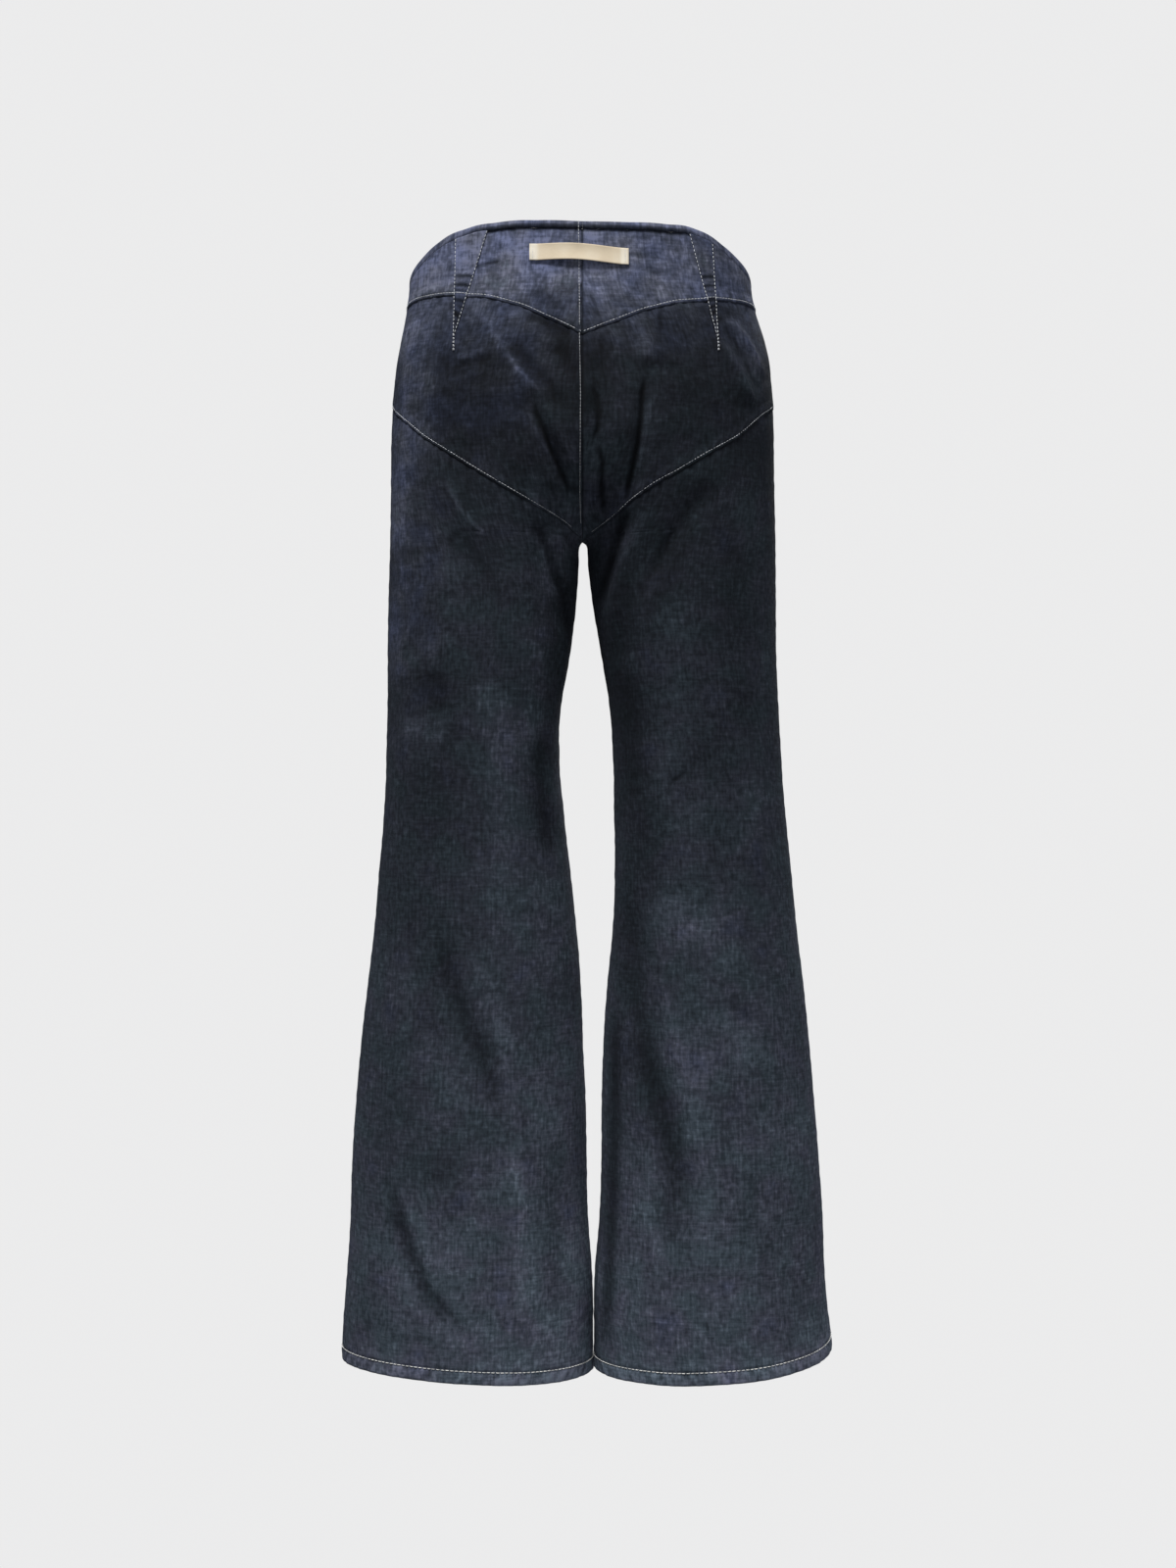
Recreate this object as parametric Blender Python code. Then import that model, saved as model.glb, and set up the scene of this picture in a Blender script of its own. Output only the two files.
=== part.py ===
"""Flared jeans, filled out as if worn, with nobody inside.

Metres, +Z up. The back faces -Y and the wearer's left is -X. The origin is the middle of the waist
opening, level with the top of the side seams.

All the cloth is cut from one skin. A point of it is found by four things: the wearer's side ("left" or
"right"), the cloth ("back" or "front"), the share of the way round from the centre seam or inseam (0) to the
side seam (1), and the height. Above the crotch the skin's level sections are the two halves of a torso, below
it they are two legs, and between them one turns into the other.
"""

import bmesh
import bpy
import numpy as np
from mathutils import Vector

CLOTH = 0.0015  # thickness of the denim wall
SEAM_GAP = 0.0003  # between two pieces at a seam
LAID_ON_GAP = 0.0006  # under a piece that lies on others
CROTCH = -0.2435  # height where the four inner seams meet
WAIST_EDGE = 0.007  # depth of the turned edge round the waist
HEM_TURN = 0.012  # depth of the turned-up hem
HEM_TURN_START = 0.0005  # how far above the edge its inner layer starts
COLUMNS = 14  # strips across a piece, from its inner seam to the side seam
FINER_BELOW = np.sin(np.linspace(0.0, np.pi / 2.0, 17))  # rows down a piece that ends at the crotch
FINER_ABOVE = np.linspace(0.0, 1.0, 19) ** 1.4  # rows down a piece that starts there
EVENLY = np.linspace(0.0, 1.0, 16)  # rows down a flare
KNEE = -0.590  # where each leg's cloth is parted in two, so that no solid is tall; it has no seam here

# Level sections of the hips: how far the side seams lie out from the centre, the depth behind and before
# them, and how square the section is, where 2 is an ellipse.
TORSO_COLUMNS = ("height", "left", "right", "back", "front", "squareness")
TORSO = (
    (-0.400, 0.1835, 0.1835, 0.094, 0.098, 2.10),
    (-0.300, 0.1822, 0.1822, 0.103, 0.104, 2.10),
    (-0.250, 0.1812, 0.1815, 0.109, 0.107, 2.15),
    (-0.210, 0.1805, 0.1808, 0.115, 0.107, 2.20),
    (-0.170, 0.1802, 0.1800, 0.120, 0.107, 2.25),
    (-0.130, 0.1790, 0.1795, 0.121, 0.106, 2.30),
    (-0.095, 0.1767, 0.1775, 0.115, 0.103, 2.35),
    (-0.060, 0.1715, 0.1723, 0.105, 0.099, 2.40),
    (-0.030, 0.1658, 0.1632, 0.095, 0.093, 2.45),
    (0.000, 0.1625, 0.1580, 0.087, 0.087, 2.50),
    (0.050, 0.1580, 0.1530, 0.079, 0.080, 2.55),
)

# Level sections of the legs: how far the inseam and the side seam lie out from the centre, and the depths.
LEG_COLUMNS = ("height", "left_inner", "left_outer", "right_inner", "right_outer", "back", "front")
LEGS = (
    (-1.024, -0.0098, 0.2270, 0.0108, 0.2378, 0.092, 0.081),
    (-0.985, -0.0096, 0.2256, 0.0110, 0.2333, 0.091, 0.080),
    (-0.942, -0.0092, 0.2226, 0.0112, 0.2286, 0.090, 0.079),
    (-0.886, -0.0053, 0.2188, 0.0156, 0.2263, 0.088, 0.077),
    (-0.830, -0.0037, 0.2170, 0.0178, 0.2227, 0.086, 0.075),
    (-0.775, -0.0028, 0.2135, 0.0182, 0.2184, 0.083, 0.073),
    (-0.719, -0.0002, 0.2087, 0.0199, 0.2136, 0.080, 0.071),
    (-0.663, 0.0019, 0.2025, 0.0234, 0.2081, 0.077, 0.070),
    (-0.607, 0.0063, 0.1960, 0.0287, 0.2015, 0.074, 0.070),
    (-0.552, 0.0121, 0.1914, 0.0306, 0.1962, 0.073, 0.072),
    (-0.496, 0.0182, 0.1867, 0.0299, 0.1906, 0.074, 0.076),
    (-0.440, 0.0221, 0.1846, 0.0286, 0.1866, 0.078, 0.081),
    (-0.403, 0.0210, 0.1837, 0.0260, 0.1846, 0.082, 0.086),
    (-0.366, 0.0148, 0.1834, 0.0206, 0.1828, 0.087, 0.091),
    (-0.328, 0.0092, 0.1833, 0.0141, 0.1820, 0.093, 0.097),
    (-0.291, 0.0055, 0.1825, 0.0084, 0.1818, 0.100, 0.103),
    (-0.244, 0.0038, 0.1812, 0.0046, 0.1815, 0.113, 0.116),
    (-0.200, 0.0038, 0.1802, 0.0046, 0.1805, 0.135, 0.150),
    (-0.100, 0.0038, 0.1790, 0.0046, 0.1790, 0.150, 0.160),
)
SEAT_TURNS_UNDER = -0.130  # height below which the centre seams curve in towards the crotch
LEGS_BEGIN, LEGS_ALONE = -0.140, -0.360  # heights between which the torso's sections give way to the legs'
INSEAM_SHARE = 0.40  # the share near the inner seams that follows the crotch's curve
CROTCH_ROUND = 0.008  # depth over which the inseams part below the crotch
CROTCH_POINT = 0.0001  # how near its height the crotch faces straight down

# Heights of the edges and seams of each cloth, by share of the way from its inner seam to the side seam.
EDGE_HEIGHTS = ("share", "left", "right")
WAISTLINE = {
    "back": (
        (0.00, 0.0420, 0.0420),
        (0.20, 0.0432, 0.0414),
        (0.40, 0.0418, 0.0404),
        (0.54, 0.0377, 0.0374),
        (0.69, 0.0265, 0.0240),
        (0.80, 0.0135, 0.0125),
        (1.00, 0.0000, 0.0000),
    ),
    "front": ((0.00, -0.038, -0.038), (0.30, -0.036, -0.036), (0.60, -0.025, -0.024), (1.00, 0.000, 0.000)),
}
YOKE_SEAM = (
    (0.00, -0.0635, -0.0635),
    (0.15, -0.0487, -0.0477),
    (0.32, -0.0345, -0.0335),
    (0.50, -0.0245, -0.0277),
    (0.70, -0.0195, -0.0253),
    (1.00, -0.0150, -0.0262),
)
SEAT_SEAM = (
    (0.00, CROTCH, CROTCH),
    (0.05, -0.2415, -0.2425),
    (0.10, -0.2285, -0.2320),
    (0.20, -0.2145, -0.2165),
    (0.36, -0.1940, -0.1930),
    (0.60, -0.1590, -0.1555),
    (0.84, -0.1275, -0.1300),
    (1.00, -0.1150, -0.1190),
)
FORK_LINE = (  # rows of the front turn here
    (0.00, CROTCH, CROTCH),
    (0.30, -0.230, -0.230),
    (0.60, -0.219, -0.219),
    (1.00, -0.214, -0.214),
)
HEM_EDGE = {
    "back": (
        (0.00, -1.0220, -1.0202),
        (0.25, -1.0216, -1.0208),
        (0.50, -1.0172, -1.0178),
        (0.75, -1.0130, -1.0110),
        (1.00, -1.0112, -1.0000),
    ),
    "front": ((0.00, -1.0220, -1.0202), (0.50, -1.0160, -1.0130), (1.00, -1.0112, -1.0000)),
}

# Folds: the cloth they are in, how far they stand out (less than 0 is a trough), their half width, and the
# points that they run through, as (across, height), where across is X.
FOLD_COLUMNS = ("cloth", "stands_out", "half_width", "points")
FOLDS = (
    ("back", -0.0040, 0.009, ((-0.050, -0.118), (-0.041, -0.150), (-0.026, -0.184), (-0.010, -0.210))),
    ("back", 0.0035, 0.013, ((-0.094, -0.052), (-0.062, -0.096), (-0.040, -0.132))),
    ("back", -0.0045, 0.008, ((0.059, -0.100), (0.056, -0.139), (0.049, -0.183), (0.038, -0.225))),
    ("back", 0.0030, 0.016, ((0.062, -0.060), (0.066, -0.100))),
    ("back", -0.0028, 0.008, ((0.010, -0.080), (0.015, -0.120), (0.011, -0.160), (0.018, -0.200))),
    ("back", 0.0030, 0.010, ((0.121, -0.060), (0.140, -0.095), (0.157, -0.130))),
    ("back", -0.0030, 0.014, ((0.126, -0.192), (0.092, -0.228), (0.066, -0.262), (0.047, -0.312))),
    ("back", -0.0035, 0.010, ((-0.046, -0.235), (-0.032, -0.268), (-0.023, -0.300), (-0.016, -0.345))),
    ("back", 0.0020, 0.010, ((-0.124, -0.190), (-0.110, -0.223), (-0.093, -0.255))),
    ("back", -0.0035, 0.009, ((0.042, -0.212), (0.031, -0.256), (0.019, -0.290), (0.016, -0.330))),
    ("back", 0.0025, 0.009, ((0.060, -0.220), (0.044, -0.262), (0.030, -0.300), (0.024, -0.345))),
    ("back", -0.0012, 0.013, ((-0.036, -0.430), (-0.032, -0.485), (-0.028, -0.545))),
    ("back", 0.0025, 0.022, ((-0.084, -0.380), (-0.080, -0.440), (-0.072, -0.520))),
    ("back", -0.0030, 0.013, ((-0.140, -0.635), (-0.112, -0.683), (-0.090, -0.730), (-0.072, -0.775))),
    ("back", 0.0030, 0.015, ((-0.078, -0.700), (-0.067, -0.765), (-0.060, -0.830), (-0.052, -0.895))),
    ("back", -0.0030, 0.010, ((-0.178, -0.845), (-0.163, -0.895), (-0.144, -0.935), (-0.110, -0.985))),
    ("back", -0.0040, 0.013, ((0.038, -0.550), (0.060, -0.655), (0.080, -0.745), (0.095, -0.875))),
    ("back", 0.0035, 0.014, ((0.064, -0.610), (0.091, -0.710), (0.108, -0.790), (0.120, -0.860))),
    ("back", -0.0015, 0.016, ((0.116, -0.668), (0.162, -0.700))),
    ("front", -0.0040, 0.013, ((-0.030, -0.215), (-0.080, -0.200), (-0.130, -0.178))),
    ("front", -0.0040, 0.013, ((0.032, -0.222), (0.075, -0.212), (0.128, -0.183))),
    ("front", -0.0035, 0.012, ((-0.034, -0.262), (-0.070, -0.262), (-0.112, -0.250))),
    ("front", -0.0035, 0.012, ((0.036, -0.258), (0.072, -0.252), (0.110, -0.236))),
    ("front", 0.0040, 0.020, ((-0.060, -0.560), (-0.082, -0.680), (-0.110, -0.800))),
    ("front", 0.0040, 0.020, ((0.070, -0.560), (0.094, -0.680), (0.120, -0.820))),
    ("front", -0.0040, 0.016, ((-0.150, -0.760), (-0.128, -0.880), (-0.110, -0.960))),
    ("front", -0.0040, 0.016, ((0.160, -0.740), (0.136, -0.860), (0.126, -0.950))),
)

FOLD_ENDS = 0.3  # the share of a fold's length over which each end dies away
FOLDS_FACE = (0.1, 0.6)  # how squarely the cloth faces back or front where folds start and are whole

# Profile of the turned waist edge: how far down from the top, and how far out from the skin.
EDGE_COLUMNS = ("down", "out")
EDGE_PROFILE = (
    (WAIST_EDGE, 0.0004),
    (0.0015, 0.0006),
    (0.0000, -0.0002),
    (0.0000, -0.0014),
    (0.0015, -0.0022),
    (WAIST_EDGE, -0.0020),
)

# The back darts, pressed flat: how far out from the centre their two edges start and their tip lies.
DART_COLUMNS = ("side", "inner_top", "outer_top", "tip")
DARTS = (("left", 0.087, 0.116, 0.117), ("right", 0.098, 0.119, 0.123))
DART_TOP_HEIGHT = 0.030
DART_TIP_HEIGHT = -0.082
DART_TIP_WIDTH = 0.0016
DART_THICKNESS = 0.0009
# Points down and across the pieces that lie on others.
DART_GRID, LABEL_GRID, FLY_GRID = (9, 3), (3, 13), (13, 6)

LABEL_MIDDLE = (-0.003, 0.010)  # across, height
LABEL_SIZE = (0.090, 0.0155)
LABEL_SLOPE = -0.049  # rise for each metre towards the wearer's right
LABEL_THICKNESS = 0.0009
LABEL_BULGE = 0.0042  # how far its middle stands off the yoke, as it is held at its two ends only

FLY_OVERLAP = 0.003  # past the centre front, towards the wearer's right
FLY_WIDTH = 0.036
FLY_LENGTH = 0.140
FLY_ROUND = 0.30  # the share of its length that curves in to the centre front
FLY_FOOT = 0.98  # how far round that curve it stops, which leaves its foot a little width
BUTTON_OUT = -0.011  # across, on the left front
BUTTON_DOWN = 0.020  # below the waistline at the centre front
BUTTON_RADIUS = 0.0085
# Half section of the button from its shank to the middle of its face: radius and height above the fly.
BUTTON_PROFILE = (
    (0.0030, 0.0000),
    (0.0030, 0.0016),
    (0.0075, 0.0018),
    (BUTTON_RADIUS, 0.0026),
    (BUTTON_RADIUS, 0.0033),
    (0.0078, 0.0038),
    (0.0066, 0.0032),
    (0.0030, 0.0035),
)

SIGN = {"left": -1.0, "right": 1.0}
OTHER = {"back": "front", "front": "back"}
SECTION_POINTS = 81  # points of a half section before it is measured off
NEAR_SHARE, NEAR_HEIGHT = 0.02, 0.002  # how far on each side of a point its normal is taken from


def soft_step(low, high, value):
    share = np.clip((value - low) / (high - low), 0.0, 1.0)
    return share * share * (3.0 - 2.0 * share)


def look_up(table, columns, known, value, wanted):
    """The wanted column of a table where its known column has this value, smoothed between the rows."""
    rows = np.array(table, float)
    x, y = rows[:, columns.index(known)], rows[:, columns.index(wanted)]
    slope = np.gradient(y, x)
    value = np.clip(value, x[0], x[-1])
    i = np.clip(np.searchsorted(x, value) - 1, 0, len(x) - 2)
    step = x[i + 1] - x[i]
    t = (value - x[i]) / step
    before, after = y[i] + step * slope[i] * t, y[i + 1] - step * slope[i + 1] * (1.0 - t)
    blend = t * t * (3.0 - 2.0 * t)
    return before * (1.0 - blend) + after * blend


def half_section(side, cloth, height):
    """Level half sections at these heights, from the inner seam to the side seam: arrays (height, point)."""
    height = np.asarray(height, float)[:, None]
    way = np.linspace(0.0, 1.0, SECTION_POINTS)[None, :]

    def torso(name):
        return look_up(TORSO, TORSO_COLUMNS, "height", height, name)

    def leg(name):
        return look_up(LEGS, LEG_COLUMNS, "height", height, name)

    power = 2.0 / torso("squareness")
    torso_x = torso(side) * np.sin(way * np.pi / 2.0) ** power
    torso_y = torso(cloth) * np.clip(np.cos(way * np.pi / 2.0), 0.0, 1.0) ** power

    below = np.clip((CROTCH - height) / CROTCH_ROUND, 0.0, 1.0)
    inner = leg(side + "_inner") * np.sqrt(1.0 - (1.0 - below) ** 2)
    outer = leg(side + "_outer")
    leg_x = (inner + outer) / 2.0 - (outer - inner) / 2.0 * np.cos(way * np.pi)
    leg_y = leg(cloth) * np.sin(way * np.pi)

    under = np.clip((SEAT_TURNS_UNDER - height) / (SEAT_TURNS_UNDER - CROTCH), 0.0, 1.0)
    at_seam = 1.0 - np.sqrt(1.0 - under**2)
    away = soft_step(-LEGS_BEGIN, -LEGS_ALONE, -height)
    near = 1.0 - soft_step(0.0, INSEAM_SHARE, way)
    to_leg = near * at_seam + (1.0 - near) * away

    x = (torso_x * (1.0 - to_leg) + leg_x * to_leg) * SIGN[side]
    y = torso_y * (1.0 - to_leg) + leg_y * to_leg
    return x, -y if cloth == "back" else y


def bare_point(side, cloth, share, height):
    """Points of the skin before the folds, measured off evenly round the section."""
    share, height = np.broadcast_arrays(np.asarray(share, float), np.asarray(height, float))
    x, y = half_section(side, cloth, height.ravel())
    length = np.hypot(np.diff(x), np.diff(y)).cumsum(axis=1)
    length = np.concatenate([np.zeros((len(x), 1)), length], axis=1)
    wanted = share.ravel() * length[:, -1]
    i = np.clip((length <= wanted[:, None]).sum(axis=1) - 1, 0, SECTION_POINTS - 2)
    row = np.arange(len(x))
    t = (wanted - length[row, i]) / (length[row, i + 1] - length[row, i])
    found = np.stack([line[row, i] + (line[row, i + 1] - line[row, i]) * t for line in (x, y)], axis=-1)
    return np.concatenate([found.reshape(*share.shape, 2), height[..., None]], axis=-1)


def past_seams(side, cloth, share, height):
    """As bare_point, but a share past a seam goes on into the next piece."""
    share, height = np.broadcast_arrays(np.asarray(share, float), np.asarray(height, float))
    inside = bare_point(side, cloth, np.clip(np.abs(share), 0.0, 1.0), height)
    over_side = bare_point(side, OTHER[cloth], np.clip(2.0 - share, 0.0, 1.0), height)
    over_inseam = bare_point(side, OTHER[cloth], np.clip(-share, 0.0, 1.0), height)
    over_centre = inside * np.array([-1.0, 1.0, 1.0])
    before = np.where((height >= CROTCH)[..., None], over_centre, over_inseam)
    return np.where((share < 0.0)[..., None], before, np.where((share > 1.0)[..., None], over_side, inside))


def outward(side, cloth, share, height):
    """Unit normals of the bare skin, the same from both sides of every seam."""
    share, height = np.broadcast_arrays(np.asarray(share, float), np.asarray(height, float))
    ahead, behind = (past_seams(side, cloth, share + step, height) for step in (NEAR_SHARE, -NEAR_SHARE))
    above, below = (bare_point(side, cloth, share, height + step) for step in (NEAR_HEIGHT, -NEAR_HEIGHT))
    normal = np.cross(ahead - behind, above - below) * SIGN[side] * (1.0 if cloth == "back" else -1.0)
    inner = share == 0.0
    normal[..., 0] = np.where(inner & (height >= CROTCH - CROTCH_POINT), 0.0, normal[..., 0])
    normal[..., 1] = np.where(inner & (height <= CROTCH + CROTCH_POINT), 0.0, normal[..., 1])
    return normal / np.linalg.norm(normal, axis=-1, keepdims=True)


def fold_relief(cloth, point, normal):
    """How far the folds move each point of the skin out, less where the cloth turns away to the side."""
    relief = np.zeros(point.shape[:-1])
    flat = point[..., [0, 2]]
    for row in FOLDS:
        fold = dict(zip(FOLD_COLUMNS, row))
        if fold["cloth"] != cloth:
            continue
        route = np.array(fold["points"], float)
        lengths = np.linalg.norm(np.diff(route, axis=0), axis=1)
        nearest = np.full(relief.shape, np.inf)
        along = np.zeros(relief.shape)
        for start, end, length, gone in zip(route[:-1], route[1:], lengths, np.cumsum(lengths) - lengths):
            t = np.clip(((flat - start) @ (end - start)) / length**2, 0.0, 1.0)
            away = np.linalg.norm(flat - start - t[..., None] * (end - start), axis=-1)
            along = np.where(away < nearest, (gone + t * length) / lengths.sum(), along)
            nearest = np.minimum(nearest, away)
        fade = soft_step(0.0, FOLD_ENDS, along) * soft_step(0.0, FOLD_ENDS, 1.0 - along)
        relief += fold["stands_out"] * np.exp(-((nearest / fold["half_width"]) ** 2)) * fade
    return relief * soft_step(*FOLDS_FACE, np.abs(normal[..., 1]))


def skin(side, cloth, share, height):
    """(points, unit normals) of the outer face of the cloth."""
    point, normal = bare_point(side, cloth, share, height), outward(side, cloth, share, height)
    return point + normal * fold_relief(cloth, point, normal)[..., None], normal


def share_at(side, cloth, out, height):
    """The share at which the skin lies this far out from the centre, above the crotch."""
    shares = np.linspace(0.0, 1.0, SECTION_POINTS)
    out, height = np.broadcast_arrays(np.asarray(out, float), np.asarray(height, float))
    found = [
        np.interp(o, np.abs(bare_point(side, cloth, shares, h)[:, 0]), shares)
        for o, h in zip(out.ravel(), height.ravel())
    ]
    return np.array(found).reshape(out.shape)


def edge_height(table, side, share):
    return look_up(table, EDGE_HEIGHTS, "share", share, side)


def rows_between(top, bottom, shares_down):
    """Heights of the rows of a piece, at these shares of the way from its top edge to its bottom edge."""
    down = np.asarray(shares_down)[:, None]
    return top * (1.0 - down) + bottom * down


def grid_shares(size):
    """The shares down and across of a grid of this many points."""
    rows, columns = size
    return np.linspace(0.0, 1.0, rows)[:, None], np.linspace(0.0, 1.0, columns)[None, :]


def material(name, colour, roughness, metallic=0.0):
    made = bpy.data.materials.new(name)
    made.use_nodes = True
    shader = made.node_tree.nodes["Principled BSDF"]
    shader.inputs["Base Color"].default_value = (*colour, 1.0)
    shader.inputs["Roughness"].default_value = roughness
    shader.inputs["Metallic"].default_value = metallic
    return made


def new_object(name, bm, finish):
    bmesh.ops.recalc_face_normals(bm, faces=bm.faces)
    mesh = bpy.data.meshes.new(name)
    bm.to_mesh(mesh)
    bm.free()
    mesh.shade_smooth()
    mesh.materials.append(finish)
    made = bpy.data.objects.new(name, mesh)
    bpy.context.scene.collection.objects.link(made)
    return made


def drawn_in(points, gap):
    """The grid with its border moved in by this much on each side, to clear the piece across the seam."""
    points = points.copy()
    for grid in (points, points.swapaxes(0, 1)):
        for edge, next_in in ((0, 1), (-1, -2)):
            step = grid[next_in] - grid[edge]
            grid[edge] += step * gap / np.linalg.norm(step, axis=-1, keepdims=True)
    return points


def wall(name, points, normals, finish, thickness=CLOTH, lift=0.0, gap=SEAM_GAP / 2.0):
    """A piece of cloth: a grid laid on these points, lifted off them and extruded in to its thickness."""
    rows, columns = points.shape[:2]
    bm = bmesh.new()
    inwards = bm.verts.layers.float_vector.new("inwards")
    grid = bmesh.ops.create_grid(bm, x_segments=columns - 1, y_segments=rows - 1, size=0.5)["verts"]
    placed = drawn_in(points, gap) + normals * (lift + (thickness if lift else 0.0))
    for vertex, place, normal in zip(grid, placed.reshape(-1, 3), normals.reshape(-1, 3)):
        vertex.co = place
        vertex[inwards] = -thickness * normal
    inside = bmesh.ops.extrude_face_region(bm, geom=bm.faces[:], use_keep_orig=True)["geom"]
    for vertex in inside:
        if isinstance(vertex, bmesh.types.BMVert):
            vertex.co += vertex[inwards]
    new_object(name, bm, finish)


def sweep(name, rings, finish):
    """A closed ring of points for each station, bridged in turn, with both ends capped."""
    bm = bmesh.new()
    made = [[bm.verts.new(point) for point in ring] for ring in rings]
    for ring, after in zip(made[:-1], made[1:]):
        for i in range(len(ring)):
            bm.faces.new((ring[i - 1], ring[i], after[i], after[i - 1]))
    bm.faces.new(made[0])
    bm.faces.new(made[-1])
    new_object(name, bm, finish)


def back_pieces(side, denim):
    """The yoke, the seat and the back of the leg in two, from the turned waist edge down to the hem."""
    share = np.linspace(0.0, 1.0, COLUMNS + 1)
    edges = (
        edge_height(WAISTLINE["back"], side, share) - WAIST_EDGE,
        edge_height(YOKE_SEAM, side, share),
        edge_height(SEAT_SEAM, side, share),
        np.full_like(share, KNEE),
        edge_height(HEM_EDGE["back"], side, share),
    )
    names = ("yoke", "seat", "leg", "flare")
    spacings = (np.linspace(0.0, 1.0, 7), FINER_BELOW, FINER_ABOVE, EVENLY)
    for name, top, bottom, shares_down in zip(names, edges[:-1], edges[1:], spacings):
        rows = rows_between(top, bottom, shares_down)
        wall(f"back_{name}_{side}", *skin(side, "back", share[None, :], rows), denim)


def front_pieces(side, denim):
    """One front in two, from the turned waist edge to the hem."""
    share = np.linspace(0.0, 1.0, COLUMNS + 1)
    top = edge_height(WAISTLINE["front"], side, share) - WAIST_EDGE
    fork = edge_height(FORK_LINE, side, share)
    upper = rows_between(top, fork, FINER_BELOW)
    lower = rows_between(fork, KNEE, FINER_ABOVE)
    rows = np.concatenate([upper, lower[1:]])
    flare = rows_between(KNEE, edge_height(HEM_EDGE["front"], side, share), EVENLY)
    wall(f"front_{side}", *skin(side, "front", share[None, :], rows), denim)
    wall(f"front_flare_{side}", *skin(side, "front", share[None, :], flare), denim)


def waist_edge(side, denim):
    """The cloth turned over and stitched down round one half of the waist, from the centre back."""
    share = np.linspace(0.0, 1.0, COLUMNS + 1)
    rings = []
    for cloth, way in (("back", share), ("front", share[-2::-1])):
        top = edge_height(WAISTLINE[cloth], side, way)
        profile = []
        for down, out in EDGE_PROFILE:
            point, normal = skin(side, cloth, way, top - down)
            profile.append(point + normal * out)
        rings += list(np.stack(profile, axis=1))
    rings = np.array(rings)
    rings[[0, -1], :, 0] = SIGN[side] * SEAM_GAP / 2.0
    lowest = [i for i, (down, _) in enumerate(EDGE_PROFILE) if down == WAIST_EDGE]
    rings[:, lowest, 2] += SEAM_GAP / 2.0
    sweep(f"waist_edge_{side}", rings, denim)


def hem_turn(side, denim):
    """The hem's turned-up cloth, a ring that lies against the inside of the leg."""
    share = np.linspace(0.0, 1.0, COLUMNS + 1)
    bm = bmesh.new()
    loops = []
    for up, depth in ((HEM_TURN_START, 1), (HEM_TURN, 1), (HEM_TURN, 2), (HEM_TURN_START, 2)):
        loop = []
        for cloth, way in (("back", share[:-1]), ("front", share[:0:-1])):
            height = edge_height(HEM_EDGE[cloth], side, way) + up
            point, normal = skin(side, cloth, way, height)
            loop += [bm.verts.new(p) for p in point - normal * (CLOTH * depth + SEAM_GAP)]
        loops.append(loop)
    for loop, after in zip(loops, loops[1:] + loops[:1]):
        for i in range(len(loop)):
            bm.faces.new((loop[i - 1], loop[i], after[i], after[i - 1]))
    new_object(f"hem_turn_{side}", bm, denim)


def on_back_or_front(cloth, across, height):
    """(points, normals) of the skin at these places across the body, where across is X."""
    sides = {}
    for side in SIGN:
        share = share_at(side, cloth, np.clip(across * SIGN[side], 0.0, None), height)
        sides[side] = skin(side, cloth, share, height)
    right = (across >= 0.0)[..., None]
    return tuple(np.where(right, a, b) for a, b in zip(sides["right"], sides["left"]))


def dart(side, inner_top, outer_top, tip, denim):
    """A dart's spare cloth, pressed flat as a long wedge over the yoke and the seat."""
    down, over = grid_shares(DART_GRID)
    across_top = inner_top + (outer_top - inner_top) * over
    top_share = share_at(side, "back", across_top, DART_TOP_HEIGHT)
    top = edge_height(WAISTLINE["back"], side, top_share) - WAIST_EDGE
    height = top * (1.0 - down) + DART_TIP_HEIGHT * down
    across_tip = tip - DART_TIP_WIDTH * (1.0 - over)
    across = (across_top * (1.0 - down) + across_tip * down) * SIGN[side]
    wall(f"dart_{side}", *on_back_or_front("back", across, height), denim, DART_THICKNESS, lift=LAID_ON_GAP)


def label(linen):
    """A blank strip of tape across the centre back, sewn down at its two ends only."""
    down, over = grid_shares(LABEL_GRID)
    right, up = LABEL_SIZE[0] * (over - 0.5), LABEL_SIZE[1] * (0.5 - down)
    across = LABEL_MIDDLE[0] + right + 0.0 * down
    height = LABEL_MIDDLE[1] + up + LABEL_SLOPE * right
    point, normal = on_back_or_front("back", across, height)
    point = point + normal * (LABEL_BULGE * np.sin(over * np.pi) ** 2)[..., None]
    wall("label", point, normal, linen, LABEL_THICKNESS, lift=LAID_ON_GAP, gap=0.0)


def fly(denim):
    """The fly's lap over the centre front, with its foot curved in as its stitching is."""
    down, over = grid_shares(FLY_GRID)
    top = float(edge_height(WAISTLINE["front"], "left", 0.0)) - WAIST_EDGE
    height = top - FLY_LENGTH * down + 0.0 * over
    curve = np.clip((down - 1.0 + FLY_ROUND) / FLY_ROUND, 0.0, FLY_FOOT)
    width = FLY_WIDTH * np.sqrt(1.0 - curve**2)
    across = FLY_OVERLAP - (FLY_OVERLAP + width) * over
    wall("fly_front", *on_back_or_front("front", across, height), denim, lift=LAID_ON_GAP)


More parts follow.
